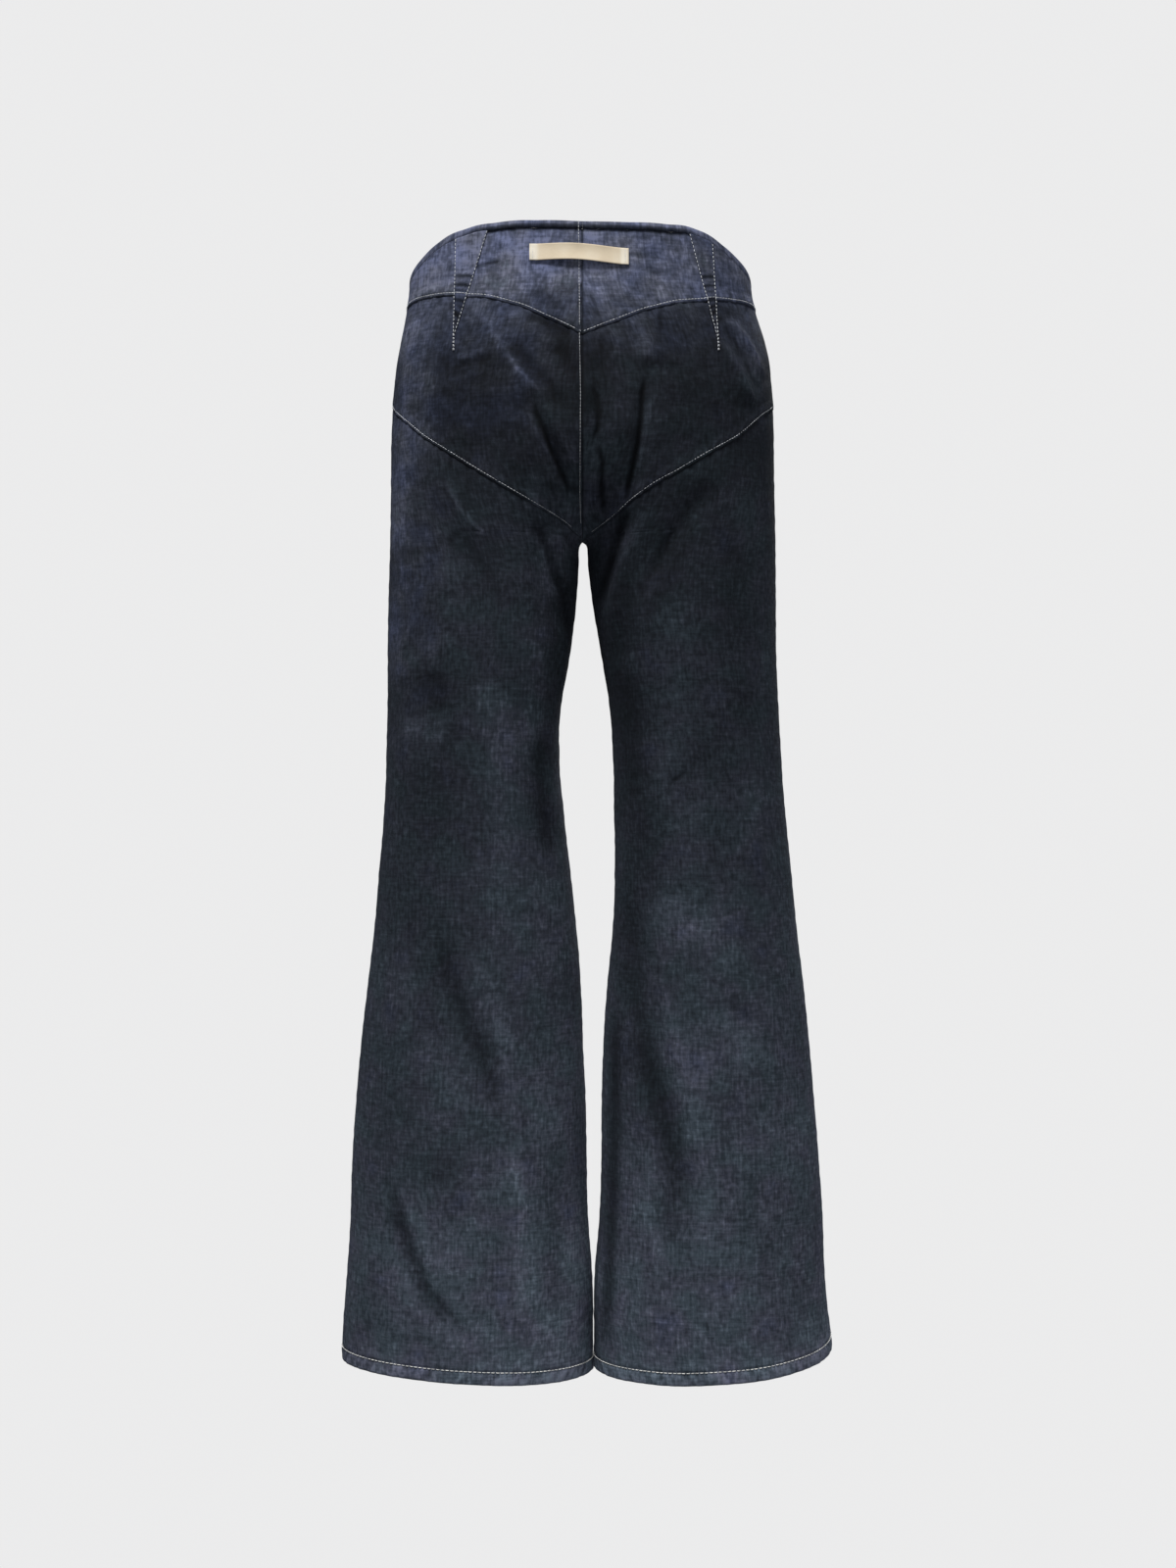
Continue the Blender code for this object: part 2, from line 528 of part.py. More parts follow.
def fly_button(brass):
    """A turned shank button, its axis square to the fly."""
    height = float(edge_height(WAISTLINE["front"], "left", 0.0)) - BUTTON_DOWN
    point, normal = on_back_or_front("front", np.array([BUTTON_OUT]), np.array([height]))
    bm = bmesh.new()
    profile = [bm.verts.new((radius, 0.0, up)) for radius, up in BUTTON_PROFILE]
    edges = [bm.edges.new(pair) for pair in zip(profile[:-1], profile[1:])]
    bmesh.ops.spin(bm, geom=profile + edges, cent=(0, 0, 0), axis=(0, 0, 1), angle=2 * np.pi, steps=24)
    bmesh.ops.remove_doubles(bm, verts=bm.verts, dist=1e-5)
    bmesh.ops.holes_fill(bm, edges=bm.edges)
    made = new_object("fly_button", bm, brass)
    made.location = point[0] + normal[0] * (CLOTH + 2.0 * LAID_ON_GAP)
    made.rotation_mode = "QUATERNION"
    made.rotation_quaternion = Vector(normal[0]).to_track_quat("Z", "Y")


def build():
    for old in list(bpy.data.objects):
        bpy.data.objects.remove(old)
    denim = material("denim", (0.045, 0.055, 0.085), 0.85)
    linen = material("label_tape", (0.72, 0.62, 0.46), 0.8)
    brass = material("button_metal", (0.45, 0.36, 0.22), 0.35, 1.0)
    for side in SIGN:
        back_pieces(side, denim)
        front_pieces(side, denim)
        waist_edge(side, denim)
        hem_turn(side, denim)
    for side, inner_top, outer_top, tip in DARTS:
        dart(side, inner_top, outer_top, tip, denim)
    label(linen)
    fly(denim)
    fly_button(brass)


build()
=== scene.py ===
"""Flared jeans, filled out as if worn, with nobody inside: the looks.

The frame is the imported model. Every cloth piece is laid on the same skin as its solid, finer, with its seams,
folds, puckers and stitching. Metres, +Z up. The back faces -Y and the wearer's left is -X.
"""

import math

import bmesh
import bpy
import numpy as np
from mathutils import Matrix, Vector


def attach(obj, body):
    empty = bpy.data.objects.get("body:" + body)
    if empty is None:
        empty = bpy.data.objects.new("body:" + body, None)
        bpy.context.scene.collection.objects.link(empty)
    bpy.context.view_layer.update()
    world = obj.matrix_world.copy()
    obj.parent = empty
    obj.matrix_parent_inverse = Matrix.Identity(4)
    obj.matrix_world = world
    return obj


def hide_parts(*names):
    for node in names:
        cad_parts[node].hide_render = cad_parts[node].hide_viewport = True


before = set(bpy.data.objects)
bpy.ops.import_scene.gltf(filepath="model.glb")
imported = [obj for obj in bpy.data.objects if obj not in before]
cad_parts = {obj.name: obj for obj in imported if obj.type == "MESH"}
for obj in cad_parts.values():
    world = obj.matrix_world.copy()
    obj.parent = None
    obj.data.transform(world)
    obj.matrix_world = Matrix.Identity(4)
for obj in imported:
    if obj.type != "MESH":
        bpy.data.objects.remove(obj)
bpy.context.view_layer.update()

# ---------------------------------------------------------------- sizes, in metres

MM = 0.001
CLOTH = 0.0015
CROTCH = -0.2435
WAIST_EDGE = 0.007
HEM_TURN = 0.012

TORSO_COLUMNS = ("height", "left", "right", "back", "front", "squareness")
TORSO = (
    (-0.400, 0.1835, 0.1835, 0.094, 0.098, 2.10),
    (-0.300, 0.1822, 0.1822, 0.103, 0.104, 2.10),
    (-0.250, 0.1812, 0.1815, 0.109, 0.107, 2.15),
    (-0.210, 0.1805, 0.1808, 0.115, 0.107, 2.20),
    (-0.170, 0.1802, 0.1800, 0.120, 0.107, 2.25),
    (-0.130, 0.1790, 0.1795, 0.121, 0.106, 2.30),
    (-0.095, 0.1767, 0.1775, 0.115, 0.103, 2.35),
    (-0.060, 0.1715, 0.1723, 0.105, 0.099, 2.40),
    (-0.030, 0.1658, 0.1632, 0.095, 0.093, 2.45),
    (0.000, 0.1625, 0.1580, 0.087, 0.087, 2.50),
    (0.050, 0.1580, 0.1530, 0.079, 0.080, 2.55),
)
LEG_COLUMNS = ("height", "left_inner", "left_outer", "right_inner", "right_outer", "back", "front")
LEGS = (
    (-1.024, -0.0098, 0.2270, 0.0108, 0.2378, 0.092, 0.081),
    (-0.985, -0.0096, 0.2256, 0.0110, 0.2333, 0.091, 0.080),
    (-0.942, -0.0092, 0.2226, 0.0112, 0.2286, 0.090, 0.079),
    (-0.886, -0.0053, 0.2188, 0.0156, 0.2263, 0.088, 0.077),
    (-0.830, -0.0037, 0.2170, 0.0178, 0.2227, 0.086, 0.075),
    (-0.775, -0.0028, 0.2135, 0.0182, 0.2184, 0.083, 0.073),
    (-0.719, -0.0002, 0.2087, 0.0199, 0.2136, 0.080, 0.071),
    (-0.663, 0.0019, 0.2025, 0.0234, 0.2081, 0.077, 0.070),
    (-0.607, 0.0063, 0.1960, 0.0287, 0.2015, 0.074, 0.070),
    (-0.552, 0.0121, 0.1914, 0.0306, 0.1962, 0.073, 0.072),
    (-0.496, 0.0182, 0.1867, 0.0299, 0.1906, 0.074, 0.076),
    (-0.440, 0.0221, 0.1846, 0.0286, 0.1866, 0.078, 0.081),
    (-0.403, 0.0210, 0.1837, 0.0260, 0.1846, 0.082, 0.086),
    (-0.366, 0.0148, 0.1834, 0.0206, 0.1828, 0.087, 0.091),
    (-0.328, 0.0092, 0.1833, 0.0141, 0.1820, 0.093, 0.097),
    (-0.291, 0.0055, 0.1825, 0.0084, 0.1818, 0.100, 0.103),
    (-0.244, 0.0038, 0.1812, 0.0046, 0.1815, 0.113, 0.116),
    (-0.200, 0.0038, 0.1802, 0.0046, 0.1805, 0.135, 0.150),
    (-0.100, 0.0038, 0.1790, 0.0046, 0.1790, 0.150, 0.160),
)
SEAT_TURNS_UNDER = -0.130
LEGS_BEGIN, LEGS_ALONE = -0.140, -0.360
INSEAM_SHARE = 0.40
CROTCH_ROUND = 0.008
PARTING_SHARE = 0.22

EDGE_HEIGHTS = ("share", "left", "right")
WAISTLINE = {
    "back": (
        (0.00, 0.0420, 0.0420),
        (0.20, 0.0432, 0.0414),
        (0.40, 0.0418, 0.0404),
        (0.54, 0.0377, 0.0374),
        (0.69, 0.0265, 0.0240),
        (0.80, 0.0135, 0.0125),
        (1.00, 0.0000, 0.0000),
    ),
    "front": ((0.00, -0.038, -0.038), (0.30, -0.036, -0.036), (0.60, -0.025, -0.024), (1.00, 0.000, 0.000)),
}
YOKE_SEAM = (
    (0.00, -0.0665, -0.0665),
    (0.15, -0.0497, -0.0527),
    (0.32, -0.0348, -0.0394),
    (0.50, -0.0273, -0.0320),
    (0.70, -0.0246, -0.0285),
    (1.00, -0.0295, -0.0295),
)
SEAT_SEAM = (
    (0.00, CROTCH, CROTCH),
    (0.05, -0.2405, -0.2425),
    (0.10, -0.2335, -0.2385),
    (0.20, -0.2190, -0.2160),
    (0.36, -0.1950, -0.1905),
    (0.60, -0.1600, -0.1580),
    (0.84, -0.1285, -0.1265),
    (1.00, -0.1150, -0.1190),
)
HEM_EDGE = {
    "back": (
        (0.00, -1.0220, -1.0202),
        (0.25, -1.0216, -1.0208),
        (0.50, -1.0172, -1.0178),
        (0.75, -1.0130, -1.0110),
        (1.00, -1.0112, -1.0000),
    ),
    "front": ((0.00, -1.0220, -1.0202), (0.50, -1.0160, -1.0130), (1.00, -1.0112, -1.0000)),
}
FORK_LINE = ((0.00, CROTCH, CROTCH), (0.30, -0.230, -0.230), (0.60, -0.219, -0.219), (1.00, -0.214, -0.214))

# Folds, in millimetres: how far each stands out (less than 0 is a trough), its half width, and the points
# that it runs through, as (across, height), where across is X.
FOLDS = {
    "back": (
        (-4, 9, (-50, -118), (-41, -150), (-26, -184), (-10, -210)),
        (3.5, 13, (-94, -52), (-62, -96), (-40, -132)),
        (-4.5, 8, (59, -100), (56, -139), (49, -183), (38, -225)),
        (3, 16, (62, -60), (66, -100)),
        (-2.8, 8, (10, -80), (15, -120), (11, -160), (18, -200)),
        (3, 10, (121, -60), (140, -95), (157, -130)),
        (-3, 14, (126, -192), (92, -228), (66, -262), (47, -312)),
        (-3.5, 10, (-46, -235), (-32, -268), (-23, -300), (-16, -345)),
        (2, 10, (-124, -190), (-110, -223), (-93, -255)),
        (-3.5, 9, (42, -212), (31, -256), (19, -290), (16, -330)),
        (2.5, 9, (60, -220), (44, -262), (30, -300), (24, -345)),
        (-1.2, 13, (-36, -430), (-32, -485), (-28, -545)),
        (2.5, 22, (-84, -380), (-80, -440), (-72, -520)),
        (-3, 13, (-140, -635), (-112, -683), (-90, -730), (-72, -775)),
        (3, 15, (-78, -700), (-67, -765), (-60, -830), (-52, -895)),
        (-3, 10, (-178, -845), (-163, -895), (-144, -935), (-110, -985)),
        (-4, 13, (38, -550), (60, -655), (80, -745), (95, -875)),
        (3.5, 14, (64, -610), (91, -710), (108, -790), (120, -860)),
        (-1.5, 16, (116, -668), (162, -700)),
    ),
    "front": (
        (-4, 13, (-30, -215), (-80, -200), (-130, -178)),
        (-4, 13, (32, -222), (75, -212), (128, -183)),
        (-3.5, 12, (-34, -262), (-70, -262), (-112, -250)),
        (-3.5, 12, (36, -258), (72, -252), (110, -236)),
        (4, 20, (-60, -560), (-82, -680), (-110, -800)),
        (4, 20, (70, -560), (94, -680), (120, -820)),
        (-4, 16, (-150, -760), (-128, -880), (-110, -960)),
        (-4, 16, (160, -740), (136, -860), (126, -950)),
    ),
}
FOLD_ENDS = 0.3
FOLDS_FACE = (0.1, 0.6)

SIGN = {"left": -1.0, "right": 1.0}
OTHER = {"back": "front", "front": "back"}
SECTION_POINTS = 121
NEAR_SHARE, NEAR_HEIGHT = 0.02, 0.002


# ---------------------------------------------------------------- the skin, as in the solids

def soft_step(low, high, value):
    """A smooth rise from 0 at low to 1 at high."""
    share = np.clip((value - low) / (high - low), 0.0, 1.0)
    return share * share * (3.0 - 2.0 * share)


def unit(vectors):
    return vectors / np.linalg.norm(vectors, axis=-1, keepdims=True)


def steps(points, axis=0):
    """The distances from each point to the next one along this axis."""
    return np.linalg.norm(np.diff(points, axis=axis), axis=-1)


def running(lengths, axis=0):
    """The sum of the lengths before each point along this axis, from 0 at the first."""
    return np.concatenate([np.zeros_like(lengths.take([0], axis)), lengths.cumsum(axis=axis)], axis=axis)


def grid(rows, columns):
    """(shares down, shares over) of an even grid."""
    return np.linspace(0.0, 1.0, rows)[:, None], np.linspace(0.0, 1.0, columns)[None, :]


def look_up(table, columns, known, value, wanted):
    """The wanted column of a table where its known column has this value, on a smooth curve."""
    rows = np.array(table, float)
    x, y = rows[:, columns.index(known)], rows[:, columns.index(wanted)]
    slope = np.gradient(y, x)
    value = np.clip(value, x[0], x[-1])
    i = np.clip(np.searchsorted(x, value) - 1, 0, len(x) - 2)
    step = x[i + 1] - x[i]
    t = (value - x[i]) / step
    before, after = y[i] + step * slope[i] * t, y[i + 1] - step * slope[i + 1] * (1.0 - t)
    blend = t * t * (3.0 - 2.0 * t)
    return before * (1.0 - blend) + after * blend


def edge_height(table, side, share):
    """The height of an edge or a seam on this side, at these shares of the way from the centre."""
    return look_up(table, EDGE_HEIGHTS, "share", share, side)


def half_section(side, cloth, height):
    """Level half sections at these heights, from inner seam to side seam, as arrays (height, point)."""
    height = np.asarray(height, float)[:, None]
    way = np.linspace(0.0, 1.0, SECTION_POINTS)[None, :]

    def torso(name):
        return look_up(TORSO, TORSO_COLUMNS, "height", height, name)

    def leg(name):
        return look_up(LEGS, LEG_COLUMNS, "height", height, name)

    power = 2.0 / torso("squareness")
    torso_x = torso(side) * np.sin(way * np.pi / 2.0) ** power
    torso_y = torso(cloth) * np.clip(np.cos(way * np.pi / 2.0), 0.0, 1.0) ** power

    below = np.clip((CROTCH - height) / CROTCH_ROUND, 0.0, 1.0)
    by_inseam = 1.0 - soft_step(0.0, PARTING_SHARE, way)
    inner = leg(side + "_inner") * (1.0 - by_inseam * (1.0 - np.sqrt(1.0 - (1.0 - below) ** 2)))
    outer = leg(side + "_outer")
    leg_x = (inner + outer) / 2.0 - (outer - inner) / 2.0 * np.cos(way * np.pi)
    leg_y = leg(cloth) * np.sin(way * np.pi)

    under = np.clip((SEAT_TURNS_UNDER - height) / (SEAT_TURNS_UNDER - CROTCH), 0.0, 1.0)
    at_seam = 1.0 - np.sqrt(1.0 - under**2)
    away = soft_step(-LEGS_BEGIN, -LEGS_ALONE, -height)
    near = 1.0 - soft_step(0.0, INSEAM_SHARE, way)
    to_leg = near * at_seam + (1.0 - near) * away

    x = (torso_x * (1.0 - to_leg) + leg_x * to_leg) * SIGN[side]
    y = torso_y * (1.0 - to_leg) + leg_y * to_leg
    return x, -y if cloth == "back" else y


def along_route(route, half_width, ends, flat):
    """How near each place (across, height) is to a line through these points: from 1 on it to 0 away from it.

    The points and the half width are in millimetres. The line fades at its ends.
    """
    route, half_width = MM * np.array(route, float), MM * half_width
    lengths = steps(route)
    nearest = np.full(flat.shape[:-1], np.inf)
    along = np.zeros(flat.shape[:-1])
    for start, end, length, gone in zip(route[:-1], route[1:], lengths, running(lengths)):
        t = np.clip(((flat - start) @ (end - start)) / length**2, 0.0, 1.0)
        away = np.linalg.norm(flat - start - t[..., None] * (end - start), axis=-1)
        along = np.where(away < nearest, (gone + t * length) / lengths.sum(), along)
        nearest = np.minimum(nearest, away)
    fade = soft_step(0.0, ends, along) * soft_step(0.0, ends, 1.0 - along)
    return np.exp(-((nearest / half_width) ** 2)) * fade


def relief(cloth, point, normal):
    """(how far out the folds and creases move each point of the skin, how much paler their painted light and
    shade make it).
    """
    out, tone = np.zeros(point.shape[:-1]), np.zeros(point.shape[:-1])
    flat = point[..., [0, 2]]
    facing = soft_step(*FOLDS_FACE, np.abs(normal[..., 1]))
    for stands_out, half_width, *route in FOLDS[cloth]:
        out += MM * stands_out * facing * along_route(route, half_width, FOLD_ENDS, flat)
    # The folds get painted light in their troughs and painted shade on their ridges, against the lamps' own
    # shading.
    tone += FOLD_PAINTED_LIGHT * out
    # Each crease paints shade along its trough, light along its ridge, and light or shade over the places it
    # lies on.
    for stands_out, half_width, paler, *route in CREASES[cloth]:
        near = along_route(route, half_width, CREASE_ENDS, flat)
        out += MM * stands_out * facing * near
        tone += paler * near
    return out, tone


# Finer folds, creases and pulls, and broad bands, in millimetres: in the same columns, with how much paler each
# is than the rest after its half width. That tone is painted light and shade with some wear: dark along
# troughs, pale along ridges, and bands with no relief that lift places the lamps leave in shade or darken
# others.
CREASES = {
    "back": (
        (0, 28, 0.045, (-130, -85), (-100, -90), (-70, -98), (-45, -104)),
        (0, 20, -0.02, (45, -90), (80, -100), (110, -110)),
        (2, 4.8, 0.19, (-107, -34), (-86, -51), (-72, -79), (-58, -101), (-50, -112), (-33, -125)),
        (0.6, 1.8, 0.16, (-68, -83), (-57, -101), (-44, -113.5), (-33, -125)),
        (-1.7, 5, -0.2, (-66, -69), (-48, -94), (-30, -113), (-17, -138)),
        (1.6, 5.6, 0.18, (-68, -43), (-45, -57), (-33, -72), (-21, -78)),
        (-1.4, 5, -0.4, (-52, -46), (-25, -57), (-7, -69)),
        (-1.2, 5, -0.2, (-24, -76), (-14, -89), (-5, -106)),
        (-1.4, 2.4, -0.5, (-46, -126), (-37, -150), (-29, -171), (-21, -188), (-14, -202), (-5, -209)),
        (1.2, 2.6, 0.16, (-50, -132), (-42, -156), (-29, -178), (-19, -197)),
        (-1, 7, -0.16, (-9, -197), (-4, -216), (-1, -239)),
        (1.6, 5, 0.1, (-34, -129), (-25, -148), (-14, -168), (-6, -184)),
        (1.3, 2.6, 0.17, (-123, -198), (-116, -212), (-107, -229), (-94, -242), (-86, -250)),
        (-2.2, 3.4, -0.38, (-50, -235), (-38, -243), (-29, -257), (-25, -276), (-16, -295), (-11, -343)),
        (1.4, 5, 0.12, (-29, -234), (-18, -248), (-13, -268), (-9, -284)),
        (0.5, 2.5, 0.1, (-164, -43), (-164, -111), (-165, -183), (-166, -255), (-168, -327)),
        (-0.8, 10, -0.1, (-138, -95), (-119, -100), (-101, -98)),
        (0.8, 3, 0.18, (-116, -86), (-98, -82), (-80, -78)),
        (-0.8, 3, -0.16, (-118, -94), (-100, -90), (-78, -87)),
        (0.6, 2.8, 0.12, (-124, -106), (-108, -104), (-88, -98)),
        (-2.2, 2.2, -0.62, (58, -100), (54, -122), (53, -145), (50, -166), (45, -186), (40, -207),
         (41, -223)),
        (1.2, 2.6, 0.16, (63, -118), (58, -148), (54, -172), (49, -195)),
        (1.2, 6, 0.04, (65, -112), (61, -146), (58, -172)),
        (1.2, 9.5, 0.24, (52, -44), (56, -69), (60, -92)),
        (0.6, 6, 0.12, (44, -86), (53, -80), (63, -88)),
        (-1, 3.6, -0.22, (70, -43), (71, -60), (70, -78)),
        (0.8, 4, 0.16, (26, -60), (32, -74), (30, -92)),
        (-1, 4.5, -0.18, (16, -66), (20, -84), (14, -104)),
        (-1.6, 2.4, -0.56, (8, -112), (13, -125), (15, -138), (14, -153), (9, -164)),
        (-1.6, 2.4, -0.56, (14, -169), (18, -182), (17, -198), (18, -212), (20, -226)),
        (1, 5, 0.04, (27, -120), (30, -155), (28, -189)),
        (2, 3.4, 0.22, (124, -66), (141, -93), (150, -112), (160, -126)),
        (1.8, 3.6, 0.22, (133, -43), (149, -61), (160, -78), (170, -98)),
        (-1.6, 3.2, -0.26, (127, -51), (140, -69), (152, -91), (164, -115)),
        (-1.4, 4.2, -0.4, (40, -219), (35, -236), (25, -261), (19, -286), (16, -306)),
        (0.8, 5.5, 0.12, (60, -221), (47, -245), (34, -271), (25, -296), (20, -326)),
        (-1.6, 5, -0.14, (88, -233), (73, -259), (59, -285), (49, -309)),
        (0, 7, -0.15, (104, -236), (88, -262), (72, -290), (60, -320)),
        (-1.8, 9, -0.12, (128, -193), (101, -224), (83, -251), (71, -268), (60, -293)),
        (-1, 2.5, -0.15, (28, -256), (18, -281), (12, -307)),
        (-1.2, 12, -0.19, (-140, -368), (-134, -388), (-132, -410)),
        (1, 9, 0.19, (-170, -418), (-148, -424), (-125, -430)),
        (0, 8, 0.09, (-122, -304), (-114, -312), (-108, -322)),
        (0, 17, 0.15, (-174, -280), (-172, -395)),
        (0.8, 11, 0.18, (-178, -370), (-158, -364), (-140, -350), (-120, -334)),
        (-1.2, 7, -0.08, (-20, -286), (-25, -363), (-32, -435), (-34, -472)),
        (-1.5, 8.5, -0.3, (-36, -415), (-37, -455), (-35, -490), (-28, -545)),
        (0, 18, 0.15, (-48, -308), (-44, -350), (-43, -400), (-52, -450)),
        (0, 17, 0.12, (-88, -330), (-84, -390), (-74, -450), (-72, -520), (-73, -600), (-79, -660)),
        (-0.6, 9, -0.15, (-126, -238), (-104, -262), (-80, -290)),
        (0, 26, -0.1, (-140, -430), (-138, -530), (-136, -640)),
        (0, 30, -0.07, (-166, -730), (-145, -790), (-125, -840)),
        (0, 20, -0.09, (-196, -900), (-192, -990)),
        (0.8, 16, 0.07, (-84, -365), (-75, -418), (-71, -472)),
        (-1, 13, -0.13, (34, -255), (38, -310), (38, -370)),
        (-1, 12.5, -0.26, (37, -355), (44, -410), (46, -460), (46, -500)),
        (0, 15, -0.13, (44, -470), (48, -520), (46, -570), (46, -610)),
        (0, 12, -0.09, (62, -470), (64, -530), (60, -590)),
        (0, 18, 0.14, (96, -590), (120, -612), (142, -645)),
        (0, 12, 0.1, (110, -715), (108, -810)),
        (0, 14, 0.09, (145, -680), (150, -735)),
        (0, 17, 0.1, (84, -290), (86, -380), (83, -480)),
        (0, 14, 0.08, (100, -480), (98, -560)),
        (0, 21, -0.14, (146, -235), (150, -330), (152, -430)),
        (-0.8, 10, -0.1, (106, -430), (110, -446), (104, -462)),
        (0, 11, 0.1, (154, -470), (156, -500), (152, -540)),
        (-1.2, 2.2, -0.3, (77, -473), (88, -466), (97, -459)),
        (-0.8, 8, -0.08, (25, -327), (34, -399), (38, -472), (36, -527)),
        (1, 22, 0.12, (78, -570), (88, -605), (106, -630)),
        (-2, 12, -0.28, (41, -560), (43, -615), (46, -660), (55, -705), (66, -748), (78, -792), (90, -835),
         (97, -872)),
        (0, 11, -0.16, (50, -690), (62, -750), (78, -805), (82, -860), (80, -905)),
        (0.8, 8, 0.12, (68, -640), (82, -700), (94, -750), (106, -810)),
        (0, 11, 0.09, (108, -800), (114, -850), (112, -910)),
        (-1.2, 5.5, -0.38, (31, -660), (30, -740), (29, -800), (27, -870), (24, -930), (20, -1010)),
        (0, 12, -0.09, (44, -700), (46, -780), (52, -850)),
        (-0.8, 7, -0.12, (136, -664), (150, -686), (158, -694)),
        (1.2, 9, 0.08, (54, -849), (62, -884), (77, -916)),
        (-1, 8, -0.08, (159, -821), (155, -855), (148, -900)),
        (-1.6, 10.5, -0.23, (-130, -604), (-124, -635), (-114, -668), (-102, -700), (-88, -732),
         (-76, -774)),
        (0, 16, -0.09, (-148, -625), (-137, -670), (-124, -705)),
        (0, 10, 0.1, (-80, -684), (-70, -710), (-62, -735)),
        (0, 20, -0.09, (-124, -805), (-118, -875)),
        (0.8, 7, 0.09, (-94, -630), (-80, -680), (-64, -720)),
        (0.8, 6, 0.08, (-77, -712), (-66, -774), (-60, -835), (-53, -886)),
        (0, 12, 0.11, (-66, -800), (-56, -850), (-53, -900), (-52, -965)),
        (-0.6, 9, -0.08, (-23, -790), (-24, -960)),
        (-1, 4.2, -0.2, (-184, -825), (-169, -860), (-159, -896), (-146, -924), (-128, -947), (-96, -978)),
        (0, 6.5, -0.22, (-180, -850), (-169, -880), (-157, -912), (-141, -942), (-118, -972)),
        (1.2, 8, 0.05, (-163, -848), (-145, -890), (-127, -926)),
        (-0.8, 3, -0.06, (-102, -667), (-85, -663), (-67, -665)),
        (0, 20, 0.38, (-158, -20), (-162, -70), (-167, -130), (-170, -200), (-171, -270)),
        (0, 22, 0.16, (-12, -165), (4, -215), (0, -262)),
        (0, 13, 0.2, (-6, -205), (-1, -235), (-1, -268)),
        (0, 20, -0.2, (-14, -40), (-6, -75), (0, -110), (2, -150)),
        (0, 10, -0.24, (-64, -46), (-44, -58), (-22, -74), (-4, -86)),
        (-0.5, 3, -0.12, (-2, -55), (-1.6, -120), (-2.2, -200), (-1.4, -250)),
        (0, 12, -0.1, (-12, -22), (6, -24)),
        (0, 30, -0.05, (-118, -90), (-100, -130), (-78, -170)),
        (0, 15, 0.17, (-140, -78), (-142, -120), (-142, -175)),
        (0, 13, -0.15, (-90, -78), (-84, -105), (-80, -140)),
        (0, 13, -0.1, (-110, -150), (-104, -195), (-98, -235)),
        (0, 11, 0.24, (150, -70), (160, -100), (166, -150)),
        (0, 18, 0.11, (-152, -80), (-152, -190)),
        (0, 21, -0.1, (-102, -228), (-86, -262), (-70, -310)),
        (0, 12, -0.11, (-160, -215), (-162, -272)),
        (0, 8, 0.22, (-30, -236), (-29, -306)),
        (0, 8.5, 0.22, (-47, -188), (-38, -226)),
        (0, 15, 0.14, (12, -140), (16, -205)),
        (0, 12, -0.15, (-6, -40), (14, -36)),
        (0, 8.5, -0.18, (-57, -66), (-55, -102)),
        (0, 10, -0.14, (119, -36), (122, -84)),
        (0, 30, -0.06, (100, -80), (95, -130), (88, -175)),
        (0, 18, 0.1, (150, -60), (158, -110)),
        (0, 22, 0.15, (158, -180), (162, -300), (166, -430)),
        (-0.8, 1.6, -0.26, (-114.5, -5.5), (-96, 1), (-73, 6)),
        (-0.7, 3, -0.1, (-3.8, -4.9), (10.4, -8.7), (26.5, -6.7)),
        (-0.7, 3, -0.1, (1.5, -16.2), (14, -19.9), (28.2, -17.9)),
        (-0.5, 2.5, -0.08, (42, 12), (58, 9), (74, 12)),
        (-0.5, 2.5, -0.08, (50, -2), (68, -6), (84, -3)),
        (-0.5, 2.5, -0.08, (36, -14), (52, -17), (70, -14)),
        (0.8, 5, 0.06, (-78, 18), (-60, 10), (-40, 12)),
        (0, 14, -0.24, (-52, -22), (-34, -32), (-12, -46)),
        (0, 18, 0.2, (-150, 12), (-146, -4), (-142, -22)),
        (0, 17, -0.2, (114, 34), (126, 6), (130, -26), (128, -52)),
    ),
    "front": (
        (-1.6, 6, -0.14, (-30, -208), (-62, -196), (-104, -180)),
        (-1.6, 6, -0.14, (30, -214), (66, -206), (110, -188)),
        (1.4, 7, 0.1, (-36, -232), (-78, -226), (-118, -206)),
        (1.4, 7, 0.1, (36, -236), (72, -234), (116, -212)),
        (-1.2, 5, -0.12, (-40, -282), (-74, -290), (-106, -282)),
        (-1.2, 5, -0.12, (40, -278), (70, -284), (100, -272)),
        (1.4, 10, 0.08, (-152, -420), (-120, -440), (-88, -436)),
        (1.4, 10, 0.08, (150, -440), (118, -456), (84, -448)),
        (-1.4, 9, -0.1, (-64, -600), (-80, -690), (-104, -790)),
        (-1.4, 9, -0.1, (66, -590), (88, -690), (112, -800)),
    ),
}
CREASE_ENDS = 0.18
# How much painted light the folds' troughs get and painted shade their ridges, per metre that they stand in or
# out.
FOLD_PAINTED_LIGHT = -8.0

HEIGHT_STEP = 0.001
HEIGHTS = CROTCH + HEIGHT_STEP * np.arange(-788, 300)
SHARES = np.linspace(0.0, 1.0, 301)
NEAR_COLUMNS = round(NEAR_SHARE * (len(SHARES) - 1))
NEAR_ROWS = round(NEAR_HEIGHT / HEIGHT_STEP)


def bare_lattice(side, cloth):
    """The skin before its folds, at all of HEIGHTS and SHARES."""
    x, y = half_section(side, cloth, HEIGHTS)
    length = running(np.hypot(np.diff(x), np.diff(y)), 1)
    made = np.empty((len(HEIGHTS), len(SHARES), 3))
    for row, (x_row, y_row, gone) in enumerate(zip(x, y, length)):
        made[row, :, 0] = np.interp(SHARES * gone[-1], gone, x_row)
        made[row, :, 1] = np.interp(SHARES * gone[-1], gone, y_row)
    made[..., 2] = HEIGHTS[:, None]
    return made


BARE = {(side, cloth): bare_lattice(side, cloth) for side in SIGN for cloth in OTHER}


